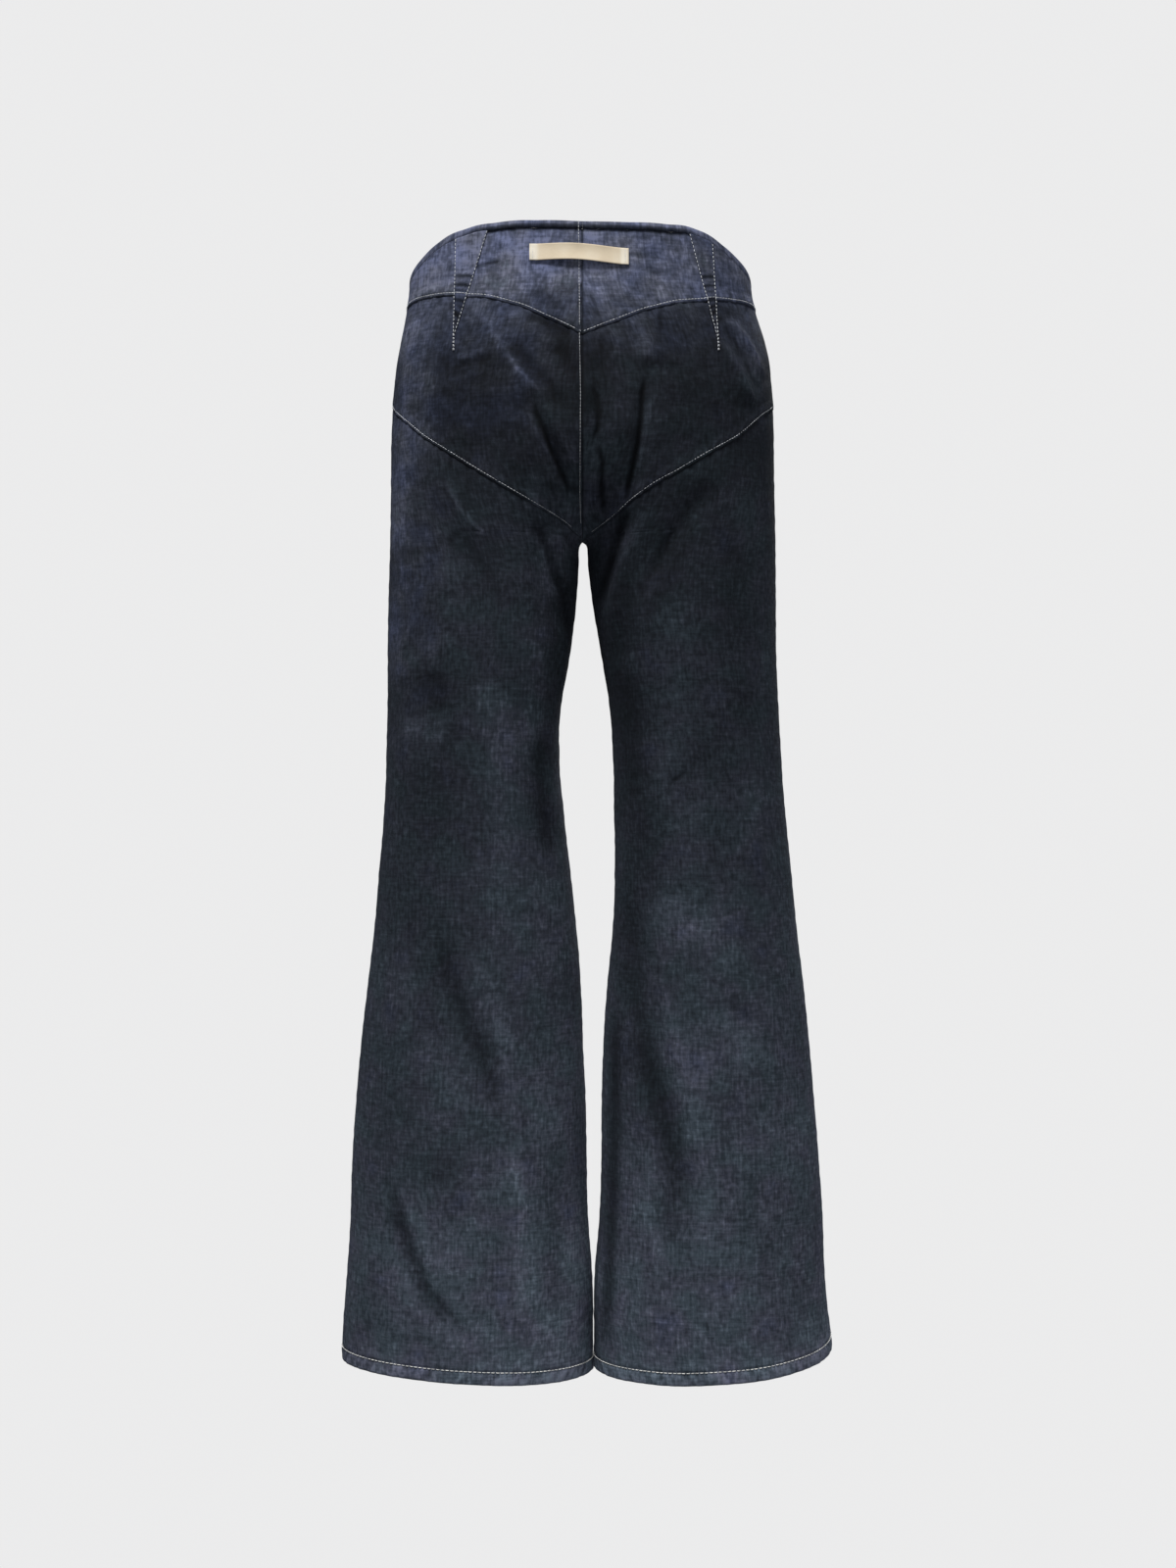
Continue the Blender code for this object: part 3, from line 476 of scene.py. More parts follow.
def normal_lattice(side, cloth):
    """Unit normals of the bare skin there, the same from both sides of every seam."""
    here, other = BARE[side, cloth], BARE[side, OTHER[cloth]]
    under = (HEIGHTS < CROTCH - HEIGHT_STEP / 2.0)[:, None, None]
    over_centre = here[:, NEAR_COLUMNS:0:-1] * (-1.0, 1.0, 1.0)
    before = np.where(under, other[:, NEAR_COLUMNS:0:-1], over_centre)
    wide = np.concatenate([before, here, other[:, -2:-2 - NEAR_COLUMNS:-1]], axis=1)
    across = wide[:, 2 * NEAR_COLUMNS:] - wide[:, :-2 * NEAR_COLUMNS]
    rows = np.arange(len(HEIGHTS))
    up = here[np.clip(rows + NEAR_ROWS, 0, rows[-1])] - here[np.clip(rows - NEAR_ROWS, 0, rows[-1])]
    normal = np.cross(across, up) * SIGN[side] * (1.0 if cloth == "back" else -1.0)
    normal[HEIGHTS >= CROTCH - HEIGHT_STEP / 2.0, 0, 0] = 0.0
    normal[HEIGHTS <= CROTCH + HEIGHT_STEP / 2.0, 0, 1] = 0.0
    return unit(normal)


NORMALS = {(side, cloth): normal_lattice(side, cloth) for side in SIGN for cloth in OTHER}
ROUND = {key: steps(made, 1).sum(axis=1) for key, made in BARE.items()}
MAP_EVENED = 120
EVENING = np.hanning(2 * MAP_EVENED + 1) / MAP_EVENED
MAP_WIDTH = {key: np.convolve(np.pad(lengths, MAP_EVENED, "edge"), EVENING, "valid")
             for key, lengths in ROUND.items()}


def skin(side, cloth, share, height, folded=True):
    """(points, unit normals, how much paler from painted light and shade) of the outer face of the cloth, with
    its folds.
    """
    share, height = np.broadcast_arrays(np.asarray(share, float), np.asarray(height, float))
    row = (height - HEIGHTS[0]) / HEIGHT_STEP
    column = share * (len(SHARES) - 1)
    i = np.clip(row.astype(int), 0, len(HEIGHTS) - 2)
    j = np.clip(column.astype(int), 0, len(SHARES) - 2)
    up, over = (row - i)[..., None], (column - j)[..., None]

    def between(lattice):
        low = lattice[i, j] * (1.0 - over) + lattice[i, j + 1] * over
        high = lattice[i + 1, j] * (1.0 - over) + lattice[i + 1, j + 1] * over
        return low * (1.0 - up) + high * up

    point, normal = between(BARE[side, cloth]), unit(between(NORMALS[side, cloth]))
    if not folded:
        return point, normal, np.zeros(point.shape[:-1])
    out, paler = relief(cloth, point, normal)
    return point + normal * out[..., None], normal, paler


def share_at(side, cloth, across, height):
    """The shares at which the skin lies this far out from the centre."""
    across, height = np.broadcast_arrays(np.asarray(across, float), np.asarray(height, float))
    row = np.clip(np.rint((height - HEIGHTS[0]) / HEIGHT_STEP).astype(int), 0, len(HEIGHTS) - 1)
    lattice = np.abs(BARE[side, cloth][..., 0])
    found = [np.interp(abs(x), lattice[r], SHARES) for x, r in zip(across.ravel(), row.ravel())]
    return np.array(found).reshape(across.shape)


def on_skin(cloth, across, height):
    """(points, normals) of the skin at these places across the body, where across is X."""
    across, height = np.broadcast_arrays(np.asarray(across, float), np.asarray(height, float))
    found = {side: skin(side, cloth, share_at(side, cloth, across, height), height) for side in SIGN}
    right = (across >= 0.0)[..., None]
    return tuple(np.where(right, found["right"][k], found["left"][k]) for k in (0, 1))


# ---------------------------------------------------------------- uneven things

def uneven(along, pitch, seed):
    """A smooth uneven wave along a line, from about -1 to 1, with humps about this far apart."""
    waves = ((1.0, 0.5), (0.61, 0.35), (1.47, 0.3), (0.23, 0.3))
    return sum(height * np.sin(2.0 * np.pi * along * rate / pitch + 1.7 * seed + 2.4 * k * k)
               for k, (rate, height) in enumerate(waves))


# How the cloth stands along each kind of edge, in millimetres: distance in from the edge, and how far out.
EDGES = {
    "laps": ((0, -0.4), (0.8, 0.4), (1.6, 0.6), (2.8, 0.2), (4.2, 0.6), (7.5, 0.5), (12, 0)),
    "under": ((0, -0.8), (1.2, -0.7), (3, -0.3), (7, 0)),
    "plain": ((0, -0.7), (1.2, 0.1), (3.5, 0.4), (8, 0)),
    "waist": ((0, -1), (1.5, -0.8), (4.5, 0)),
    "hem": ((0, -0.6), (1, 0.4), (5, 0.7), (9.5, 0.5), (12, -0.4), (14.5, 0.3), (20, 0)),
}
# How far each kind of edge puckers, in millimetres: how high, how far apart, and how far in it reaches.
PUCKERS = {
    "laps": (0.35, 11, 12),
    "under": (0.3, 11, 16),
    "plain": (0.2, 16, 10),
    "waist": (0.3, 14, 10),
    "hem": (0.6, 12.5, 18),
}
# How pale each kind of edge is: distance in from the edge in millimetres, and how much paler it is. The paler
# hem and lap ridges are wear; the darker cloth at the edges of under, plain and waist, and the hem's dip at its
# stitching, is painted shade in the seam's groove or under the edge that laps or rolls over it.
WEAR_AND_SHADE = {
    "laps": ((0, -0.06), (1, 0.01), (2.2, 0.03), (4, 0.02), (8, 0.03), (13, 0)),
    "under": ((0, -0.14), (2, -0.05), (6, 0), (10, 0)),
    "plain": ((0, -0.16), (2, 0.04), (6, 0.04), (11, 0)),
    "waist": ((0, -0.34), (1.6, -0.22), (4, -0.04), (7, 0)),
    "hem": ((0, 0.22), (1.5, 0.16), (6, 0.12), (11, 0.10), (12.5, -0.05), (15, 0.03), (26, 0)),
}
# Puckers hold up to this share of their reach. The wear and painted shade are this uneven along an edge, and
# the puckers add this much uneven wear.
PUCKER_HOLDS, WEAR_AND_SHADE_UNEVEN, PUCKER_WEAR = 0.3, 0.5, 0.06
# How far the puckers of a hem slant.
ROPING = 0.8
# Where the roll of the waist's edge begins and ends to flatten, as shares of the way round from the centre.
ROLL_ENDS = (0.42, 0.66)
# Points stand EDGE_PITCH apart in the strip NEAR_EDGE wide along a sewn edge.
NEAR_EDGE, EDGE_PITCH = 0.014, 0.0012
# Columns that end within TURNS_WITHIN of the crotch turn under it, so their points stand closer there.
COLUMN_POINTS, TURNS_WITHIN = 500, 0.02


def by_distance(table, distance):
    """The second column of a table at this distance. Its first column is in millimetres."""
    rows = np.array(table)
    return np.interp(distance / MM, rows[:, 0], rows[:, 1])


def rolled(share):
    """How far the waist's edge is rolled clear of the cloth under it: 1 between the darts, 0 at the sides."""
    return 1.0 - soft_step(*ROLL_ENDS, share)


def edge_finish(kind, distance, along, seed):
    """(how far out the cloth stands, how much paler it is from wear and painted shade) at this distance in from
    an edge of this kind.
    """
    height, pitch, reach = MM * np.array(PUCKERS[kind])
    slant = ROPING * distance if kind == "hem" else 0.0
    wave = uneven(along + slant, pitch, seed)
    fade = 1.0 - soft_step(PUCKER_HOLDS * reach, reach, distance)
    out = MM * by_distance(EDGES[kind], distance) + height * wave * fade
    wear_and_shade = by_distance(WEAR_AND_SHADE[kind], distance) * (1.0 + WEAR_AND_SHADE_UNEVEN * wave) + PUCKER_WEAR * wave * fade
    return out, wear_and_shade


def spread(length, pitch, first=True, last=True):
    """Places along a length, as shares: close together near the ends asked for, wider apart between them."""
    close = np.arange(1, round(NEAR_EDGE / EDGE_PITCH) + 1) * EDGE_PITCH
    places, start, stop = [0.0, length], 0.0, length
    if first and length > 3.0 * NEAR_EDGE:
        places += list(close)
        start = NEAR_EDGE
    if last and length > 3.0 * NEAR_EDGE:
        places += list(length - close)
        stop = length - NEAR_EDGE
    count = max(2, round((stop - start) / pitch))
    places += list(np.linspace(start, stop, count + 1))
    return np.unique(np.round(places, 6)) / length


def down_the_cloth(side, cloth, share, top, bottom, places):
    """Heights of each column at these shares of its measured length, from top edge down to bottom edge."""
    even = np.linspace(0.0, 1.0, COLUMN_POINTS)[:, None]
    turns_under = (bottom <= CROTCH + TURNS_WITHIN) & (top > CROTCH + TURNS_WITHIN)
    way = np.where(turns_under, np.sin(even * np.pi / 2.0), even)
    heights = top * (1.0 - way) + bottom * way
    lengths = running(steps(skin(side, cloth, share[None, :], heights, folded=False)[0]))
    columns = zip(lengths.T, heights.T)
    return np.stack([np.interp(places * gone[-1], gone, column) for gone, column in columns], axis=1)


# ---------------------------------------------------------------- meshes

def signed_volume(points, faces):
    """More than 0 where the faces look out of the closed form, less where they look in."""
    corners = points[faces]
    return sum(np.einsum("ij,ij->", corners[:, 0], np.cross(corners[:, k], corners[:, k + 1]))
               for k in range(1, faces.shape[1] - 1))


# The colour leans most to violet round the yoke, partly the cloth's own tint and partly painted sheen where the
# cloth faces the light: how far, and the heights between which it rises.
YOKE_VIOLET, YOKE_VIOLET_RISE, LEFT_VIOLET = 0.85, (-0.130, -0.025), 0.80
# The left hip and the left seat, where painted sheen leans the colour to violet: where violet begins and is
# full, by distance from the centre and by height.
LEFT_VIOLET_PLACES = (((0.110, 0.165), (-0.50, -0.30)), ((0.020, 0.060), (-0.200, -0.120)))


def violet(points):
    """How far the colour leans to violet at each point, from the cloth's own tint and from painted sheen."""
    height, left = points[:, 2], -points[:, 0]
    leaning = YOKE_VIOLET * soft_step(*YOKE_VIOLET_RISE, height)
    for across, rise in LEFT_VIOLET_PLACES:
        leaning = np.maximum(leaning, LEFT_VIOLET * soft_step(*across, left) * soft_step(*rise, height))
    return leaning


def new_piece(name, points, parts, materials, uv, tones):
    """A closed mesh object from arrays, facing out. Each part is (faces, number of its material)."""
    if sum(signed_volume(points, faces) for faces, _ in parts) < 0.0:
        parts = [(faces[:, ::-1], number) for faces, number in parts]
    mesh = bpy.data.meshes.new(name)
    mesh.from_pydata(points.tolist(), [], [face for faces, _ in parts for face in faces.tolist()])
    for material in materials:
        mesh.materials.append(material)
    numbers = np.concatenate([np.full(len(faces), number, np.int32) for faces, number in parts])
    mesh.polygons.foreach_set("material_index", numbers)
    corner = np.empty(len(mesh.loops), np.int32)
    mesh.loops.foreach_get("vertex_index", corner)
    mesh.uv_layers.new(name="cloth").data.foreach_set("uv", np.asarray(uv, np.float32)[corner].ravel())
    for key, values in (("tone", tones), ("violet", violet(points))):
        layer = mesh.attributes.new(key, "FLOAT", "POINT")
        layer.data.foreach_set("value", np.asarray(values, np.float32).ravel())
    mesh.shade_smooth()
    mesh.update()
    made = bpy.data.objects.new(name, mesh)
    bpy.context.scene.collection.objects.link(made)
    return made


def sheet(nodes, points, normals, cloth_map, tones, thickness=CLOTH, slot="denim"):
    """A piece of cloth with a face, a reverse and cut edges, which replaces these solids."""
    outer = points.reshape(-1, 3)
    inner = outer - normals.reshape(-1, 3) * thickness
    index = np.arange(len(outer)).reshape(points.shape[:2])
    face = np.stack([index[:-1, :-1], index[:-1, 1:], index[1:, 1:], index[1:, :-1]], axis=-1).reshape(-1, 4)
    border = np.concatenate([index[0, :-1], index[:-1, -1], index[-1, :0:-1], index[:0:-1, 0]])
    after = np.roll(border, -1)
    rim = np.stack([after, border, border + len(outer), after + len(outer)], axis=-1)
    parts = [(face, 0), (rim, 0), (face[:, ::-1] + len(outer), 1)]
    uv, both_tones = np.tile(cloth_map.reshape(-1, 2), (2, 1)), np.tile(tones.ravel(), 2)
    made = new_piece(f"{nodes[0]}_cloth", np.concatenate([outer, inner]), parts, FACES[slot], uv, both_tones)
    finish_piece(made, nodes)


def finish_piece(made, nodes):
    """Says what the piece rides on and which solids it replaces."""
    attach(made, "root")
    if nodes:
        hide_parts(*nodes)


# ---------------------------------------------------------------- finishes

def node(tree, kind, settings=None, **inputs):
    """A shader node with its settings. Each input is a value, or the output of another node that joins it."""
    made = tree.nodes.new(kind)
    for key, value in (settings or {}).items():
        setattr(made, key, value)
    for key, value in inputs.items():
        socket = made.inputs[int(key[1:])] if key[1:].isdigit() else made.inputs[key.replace("_", " ")]
        if isinstance(value, bpy.types.NodeSocket):
            tree.links.new(value, socket)
        else:
            socket.default_value = value
    return made


def maths(tree, operation, first, second=0.0):
    return node(tree, "ShaderNodeMath", {"operation": operation}, _0=first, _1=second).outputs[0]


def total(tree, first, *parts):
    """The first value, with each part added after it is multiplied by its weight."""
    for part, weight in parts:
        first = maths(tree, "ADD", first, maths(tree, "MULTIPLY", part, weight))
    return first


def noise(tree, place, scale, detail):
    return node(tree, "ShaderNodeTexNoise", Vector=place, Scale=scale, Detail=detail).outputs[0]


def ranged(tree, value, low=0.0, high=1.0, start=0.0, end=1.0):
    """The value's run from start to end, made a run from low to high."""
    return node(tree, "ShaderNodeMapRange", Value=value, From_Min=start, From_Max=end, To_Min=low,
                To_Max=high).outputs[0]


def cloth_place(tree):
    """The place on the cloth's own map."""
    return node(tree, "ShaderNodeUVMap", {"uv_map": "cloth"}).outputs[0]


def reading(tree, name):
    """A number that the mesh carries at each point."""
    return node(tree, "ShaderNodeAttribute", {"attribute_name": name}).outputs["Fac"]


def tinted(tree, colour, tint):
    return node(tree, "ShaderNodeMix", {"data_type": "RGBA", "blend_type": "MULTIPLY"}, _0=1.0, _6=colour,
                _7=tint).outputs[2]


def group(name, inputs, outputs):
    """An empty node group that takes a map and these numbers, and puts out numbers."""
    tree = bpy.data.node_groups.new(name, "ShaderNodeTree")
    tree.interface.new_socket("Map", in_out="INPUT", socket_type="NodeSocketVector")
    for label, value in inputs.items():
        socket = tree.interface.new_socket(label, in_out="INPUT", socket_type="NodeSocketFloat")
        socket.default_value = value
    for label in outputs:
        tree.interface.new_socket(label, in_out="OUTPUT", socket_type="NodeSocketFloat")
    return tree, tree.nodes.new("NodeGroupInput").outputs, tree.nodes.new("NodeGroupOutput").inputs


def weave_group():
    """Diagonal ribs of a weave over the cloth's own map, with threads that are never quite alike."""
    numbers = {"Rib Width": 0.001, "Slant": 1.0, "Unevenness": 0.3}
    tree, given, put = group("weave", numbers, ("Height", "Weft"))
    split = node(tree, "ShaderNodeSeparateXYZ", Vector=given["Map"]).outputs
    wander = noise(tree, given["Map"], 900.0, 1.0)
    slanted = total(tree, split["X"], (split["Y"], given["Slant"]))
    turns = total(tree, maths(tree, "DIVIDE", slanted, given["Rib Width"]), (wander, given["Unevenness"]))
    rib = maths(tree, "SINE", maths(tree, "MULTIPLY", turns, 2.0 * math.pi))
    crossing = maths(tree, "DIVIDE", split["Y"], given["Rib Width"])
    threads = maths(tree, "SINE", maths(tree, "MULTIPLY", crossing, 4.0 * math.pi))
    tree.links.new(total(tree, 0.5, (rib, 0.35), (threads, 0.15)), put["Height"])
    tree.links.new(ranged(tree, rib, start=-0.2, end=-1.0), put["Weft"])
    return tree


def slub_group():
    """Long thin streaks where the thread runs thick or thin, down the cloth and fainter across it."""
    tree, given, put = group("slubs", {"Width": 0.002, "Length": 0.05}, ("Streaks",))
    split = node(tree, "ShaderNodeSeparateXYZ", Vector=given["Map"]).outputs

    def streaks(wide, long):
        x, y = maths(tree, "DIVIDE", split["X"], wide), maths(tree, "DIVIDE", split["Y"], long)
        return noise(tree, node(tree, "ShaderNodeCombineXYZ", X=x, Y=y).outputs[0], 1.0, 2.0)

    down, over = streaks(given["Width"], given["Length"]), streaks(given["Length"], given["Width"])
    tree.links.new(total(tree, 0.0, (down, 0.58), (over, 0.42)), put["Streaks"])
    return tree


def fading_group():
    """Cloudy patches where the indigo has gone a little, on two scales."""
    tree, given, put = group("fading", {}, ("Patches",))
    wide, close = noise(tree, given["Map"], 11.0, 2.0), noise(tree, given["Map"], 85.0, 3.0)
    tree.links.new(total(tree, 0.0, (wide, 0.55), (close, 0.45)), put["Patches"])
    return tree


WEAVE, SLUBS, FADING = weave_group(), slub_group(), fading_group()


def use(tree, which, **inputs):
    return node(tree, "ShaderNodeGroup", {"node_tree": which}, **inputs).outputs


def new_finish(name, roughness, metallic=0.0, **others):
    made = bpy.data.materials.new(name)
    made.use_nodes = True
    shader = made.node_tree.nodes["Principled BSDF"]
    shader.inputs["Roughness"].default_value = roughness
    shader.inputs["Metallic"].default_value = metallic
    for key, value in others.items():
        shader.inputs[key.replace("_", " ")].default_value = value
    return made, made.node_tree, shader.inputs


def colour_steps(tree, value, colours):
    """A smooth run of colours: (place, colour) pairs."""
    ramp = node(tree, "ShaderNodeValToRGB", Fac=value)
    ramp.color_ramp.interpolation = "LINEAR"
    elements = ramp.color_ramp.elements
    while len(elements) < len(colours):
        elements.new(0.5)
    for element, (place, colour) in zip(elements, colours):
        element.position = place
        element.color = (*colour, 1.0)
    return ramp.outputs[0]


def join(tree, shader, colour, height, strength, distance, rough=None):
    """Joins a colour, a height that roughens the surface, and a roughness if there is one, to the shader."""
    tree.links.new(colour, shader["Base Color"])
    bump = node(tree, "ShaderNodeBump", Strength=strength, Distance=distance, Height=height)
    tree.links.new(bump.outputs[0], shader["Normal"])
    if rough is not None:
        tree.links.new(rough, shader["Roughness"])


# Colours of the denim from where it is darkest to where it is most worn, each step about twice as light.
DENIM_TONES = (
    (0.00, (0.0030, 0.0040, 0.0062)),
    (0.20, (0.0066, 0.0087, 0.0132)),
    (0.40, (0.0146, 0.0186, 0.0275)),
    (0.60, (0.0318, 0.0394, 0.0570)),
    (0.80, (0.0700, 0.0838, 0.1205)),
    (1.00, (0.1560, 0.1800, 0.2550)),
)
TONE_RANGE = (-0.25, 1.0)
# Where the colour leans a little to green, to red and to violet: random tints of the cloth, with more violet
# where painted sheen leans it so.
DYE_AND_SHEEN_LEANS = ((0.38, (0.93, 1.03, 0.925)), (0.60, (1.06, 0.98, 0.955)), (0.86, (1.0, 0.995, 1.185)))
REVERSE_COLOURS = ((0.1, (0.075, 0.090, 0.125)), (0.5, (0.170, 0.190, 0.225)), (0.9, (0.300, 0.310, 0.320)))
TAPE_COLOURS = ((0.0, (0.390, 0.305, 0.205)), (0.5, (0.650, 0.555, 0.410)), (1.0, (0.850, 0.820, 0.730)))
BRASS_COLOURS = ((0.30, (0.160, 0.105, 0.050)), (0.52, (0.400, 0.290, 0.150)), (0.75, (0.560, 0.430, 0.240)))
TWILL_RIB = 0.00095


def denim_face():
    """Dark indigo twill, paler where its tone says: from wear, and from painted light and shade."""
    made, tree, shader = new_finish("denim_face", 0.86, Sheen_Weight=0.03, Sheen_Roughness=0.45, IOR=1.28,
                                    Specular_IOR_Level=0.32, Sheen_Tint=(0.62, 0.72, 0.95, 1.0))
    place, tone, leaning = cloth_place(tree), reading(tree, "tone"), reading(tree, "violet")
    ribs = use(tree, WEAVE, Map=place, Rib_Width=TWILL_RIB, Slant=0.9, Unevenness=0.5)
    grain = use(tree, SLUBS, Map=place, Width=0.0031, Length=0.0078)["Streaks"]
    streaks = use(tree, SLUBS, Map=place, Width=0.0020, Length=0.036)["Streaks"]
    patches = use(tree, FADING, Map=place)["Patches"]
    value = total(tree, tone, (ribs["Weft"], 0.05))
    for part, strength in ((grain, 1.08), (streaks, 0.58), (patches, total(tree, 0.65, (leaning, 0.70)))):
        value = total(tree, value, (maths(tree, "SUBTRACT", part, 0.5), strength))
    value = ranged(tree, value, start=TONE_RANGE[0], end=TONE_RANGE[1])
    lean = total(tree, noise(tree, place, 28.0, 3.0), (leaning, 0.27))
    colour = tinted(tree, colour_steps(tree, value, DENIM_TONES), colour_steps(tree, lean, DYE_AND_SHEEN_LEANS))
    height = total(tree, 0.0, (ribs["Height"], 0.5), (grain, 1.2))
    join(tree, shader, colour, height, 0.6, 0.0007, ranged(tree, patches, 0.80, 0.92))
    return made


def denim_reverse():
    """The inside of the twill, where the undyed thread shows."""
    made, tree, shader = new_finish("denim_reverse", 0.9, Sheen_Weight=0.1, Sheen_Roughness=0.5, IOR=1.35)
    place = cloth_place(tree)
    ribs = use(tree, WEAVE, Map=place, Rib_Width=TWILL_RIB, Slant=-0.9, Unevenness=0.5)
    streaks = use(tree, SLUBS, Map=place, Width=0.0017, Length=0.03)["Streaks"]
    patches = use(tree, FADING, Map=place)["Patches"]
    value = total(tree, 0.0, (ribs["Weft"], 0.35), (streaks, 0.5), (patches, 0.2))
    join(tree, shader, colour_steps(tree, value, REVERSE_COLOURS), ribs["Height"], 0.5, 0.0005)
    return made


def label_tape():
    """Cream tape with a close rib, a little darker towards the middle, paler where its ends fold under."""
    made, tree, shader = new_finish("label_tape", 0.72, Sheen_Weight=0.15, Sheen_Roughness=0.4, IOR=1.4)
    place = cloth_place(tree)
    ribs = use(tree, WEAVE, Map=place, Rib_Width=0.0007, Slant=0.0, Unevenness=0.25)
    patches = use(tree, FADING, Map=place)["Patches"]
    cloudy = maths(tree, "SUBTRACT", patches, 0.5)
    value = total(tree, reading(tree, "tone"), (cloudy, 0.5), (ribs["Weft"], 0.04))
    colour = colour_steps(tree, value, TAPE_COLOURS)
    join(tree, shader, colour, ribs["Height"], 0.5, 0.0003, ranged(tree, patches, 0.62, 0.80))
    return made


def thread(name, dark, light):
    """Twisted sewing thread, its plies shown by a slanting rib."""
    made, tree, shader = new_finish(name, 0.62, Sheen_Weight=0.2, Sheen_Roughness=0.4, IOR=1.45)
    ply = use(tree, WEAVE, Map=cloth_place(tree), Rib_Width=0.00045, Slant=1.0, Unevenness=0.2)
    value = total(tree, reading(tree, "tone"), (ply["Weft"], -0.12))
    join(tree, shader, colour_steps(tree, value, ((0.0, dark), (1.0, light))), ply["Height"], 0.6, 0.0002)
    return made


def button_metal():
    """Aged brass, its colour and its roughness uneven with tarnish."""
    made, tree, shader = new_finish("button_metal", 0.34, 1.0)
    place = node(tree, "ShaderNodeTexCoord").outputs["Object"]
    grain, tarnish = noise(tree, place, 700.0, 4.0), noise(tree, place, 190.0, 3.0)
    colour = colour_steps(tree, tarnish, BRASS_COLOURS)
    join(tree, shader, colour, grain, 0.35, 0.0001, ranged(tree, tarnish, 0.50, 0.25))
    return made


DENIM, REVERSE, TAPE = denim_face(), denim_reverse(), label_tape()
THREAD = thread("topstitch_thread", (0.200, 0.210, 0.235), (0.890, 0.920, 0.970))
DULL_THREAD = thread("hem_thread", (0.110, 0.120, 0.140), (0.900, 0.900, 0.880))
BRASS = button_metal()
# The face and the reverse of the cloth of each slot.
FACES = {"denim": (DENIM, REVERSE), "label_tape": (TAPE, TAPE)}


# ---------------------------------------------------------------- panels

# The back panels: the solids that each replaces, its edges above and below, how they are sewn, about how long
# it is, and how far apart its points are.
PANELS = (
    (("back_yoke",), "waist", YOKE_SEAM, "waist", "laps", 0.09, 0.0017),
    (("back_seat",), YOKE_SEAM, SEAT_SEAM, "under", "laps", 0.20, 0.0016),
    (("back_leg", "back_flare"), SEAT_SEAM, "hem", "under", "hem", 0.85, 0.0025),
)
FRONT_PITCH, PANEL_WIDTH = 0.0030, 0.25

# How pale the cloth is by height, below the yoke and on it: partly its own fading, partly painted light and
# shade, darkest on the seat where it turns under away from the lamps, paler on the yoke, which faces up to
# them, down the legs, and on the left of the seat, which faces them.
TONE_COLUMNS = ("height", "left", "right")
TONES = (
    (-1.024, 0.68, 0.69),
    (-0.900, 0.60, 0.60),
    (-0.750, 0.50, 0.55),
    (-0.600, 0.39, 0.42),
    (-0.450, 0.34, 0.34),
    (-0.330, 0.32, 0.29),
    (-0.230, 0.32, 0.23),
    (-0.150, 0.18, 0.14),
    (-0.100, 0.15, 0.10),
    (-0.060, 0.31, 0.25),
    (-0.030, 0.46, 0.38),
    (0.000, 0.52, 0.46),
)
YOKE_TONES = (
    (-0.070, 0.43, 0.43),
    (-0.040, 0.55, 0.56),
    (-0.015, 0.73, 0.73),
    (0.045, 0.78, 0.78),
)
YOKE_CHANGE = (-0.007, 0.004)
FRONT_CHANGE = (-0.110, 0.0)
# A lap is flattened by this share at the side seam, between these shares of the way over.
LAP_FLATTENED, LAP_FLAT = 0.8, (0.86, 0.98)
# How much painted light lifts the legs at the inseam and at the side seam, where the cloth turns away from the
# lamps into shade, and how far in and how far up that reaches.
SEAM_PAINTED_LIGHT = {"left": (0.17, 0.04), "right": (0.02, 0.18)}
INSEAM_PAINTED_LIGHT, SIDE_SEAM_PAINTED_LIGHT, LEG_PAINTED_LIGHT = (0.0, 0.46), (0.62, 1.0), (-0.46, -0.36)


def dye_and_painted_light(side, cloth_side, share, height):
    """How pale the cloth is before wear, with painted light and shade in it: darker on the seat, paler on the
    yoke, paler where painted light lifts the shaded sides of the legs, and paler towards the waist on the
    front.
    """
    low = look_up(TONES, TONE_COLUMNS, "height", height, side)
    high = look_up(YOKE_TONES, TONE_COLUMNS, "height", height, side)
    # Painted light on the sides of the legs that turn away from the lamps.
    at_inseam, at_side_seam = SEAM_PAINTED_LIGHT[side]
    fading = at_inseam * (1.0 - soft_step(*INSEAM_PAINTED_LIGHT, share))
    fading = fading + at_side_seam * soft_step(*SIDE_SEAM_PAINTED_LIGHT, share)
    low = low + fading * (1.0 - soft_step(*LEG_PAINTED_LIGHT, height))
    if cloth_side == "back":
        yoke = soft_step(*YOKE_CHANGE, height - edge_height(YOKE_SEAM, side, share))
    else:
        yoke = soft_step(*FRONT_CHANGE, height)
    return low * (1.0 - yoke) + high * yoke


def edge_table(which, cloth_side):
    return {"waist": WAISTLINE, "hem": HEM_EDGE}[which][cloth_side] if isinstance(which, str) else which


def edge_line(which, side, cloth_side, share):
    height = edge_height(edge_table(which, cloth_side), side, share)
    return height - WAIST_EDGE if which == "waist" else height


def measured(points):
    """Distances along each row from its first point, and down each column from its top."""
    return running(steps(points, 1), 1), running(steps(points))


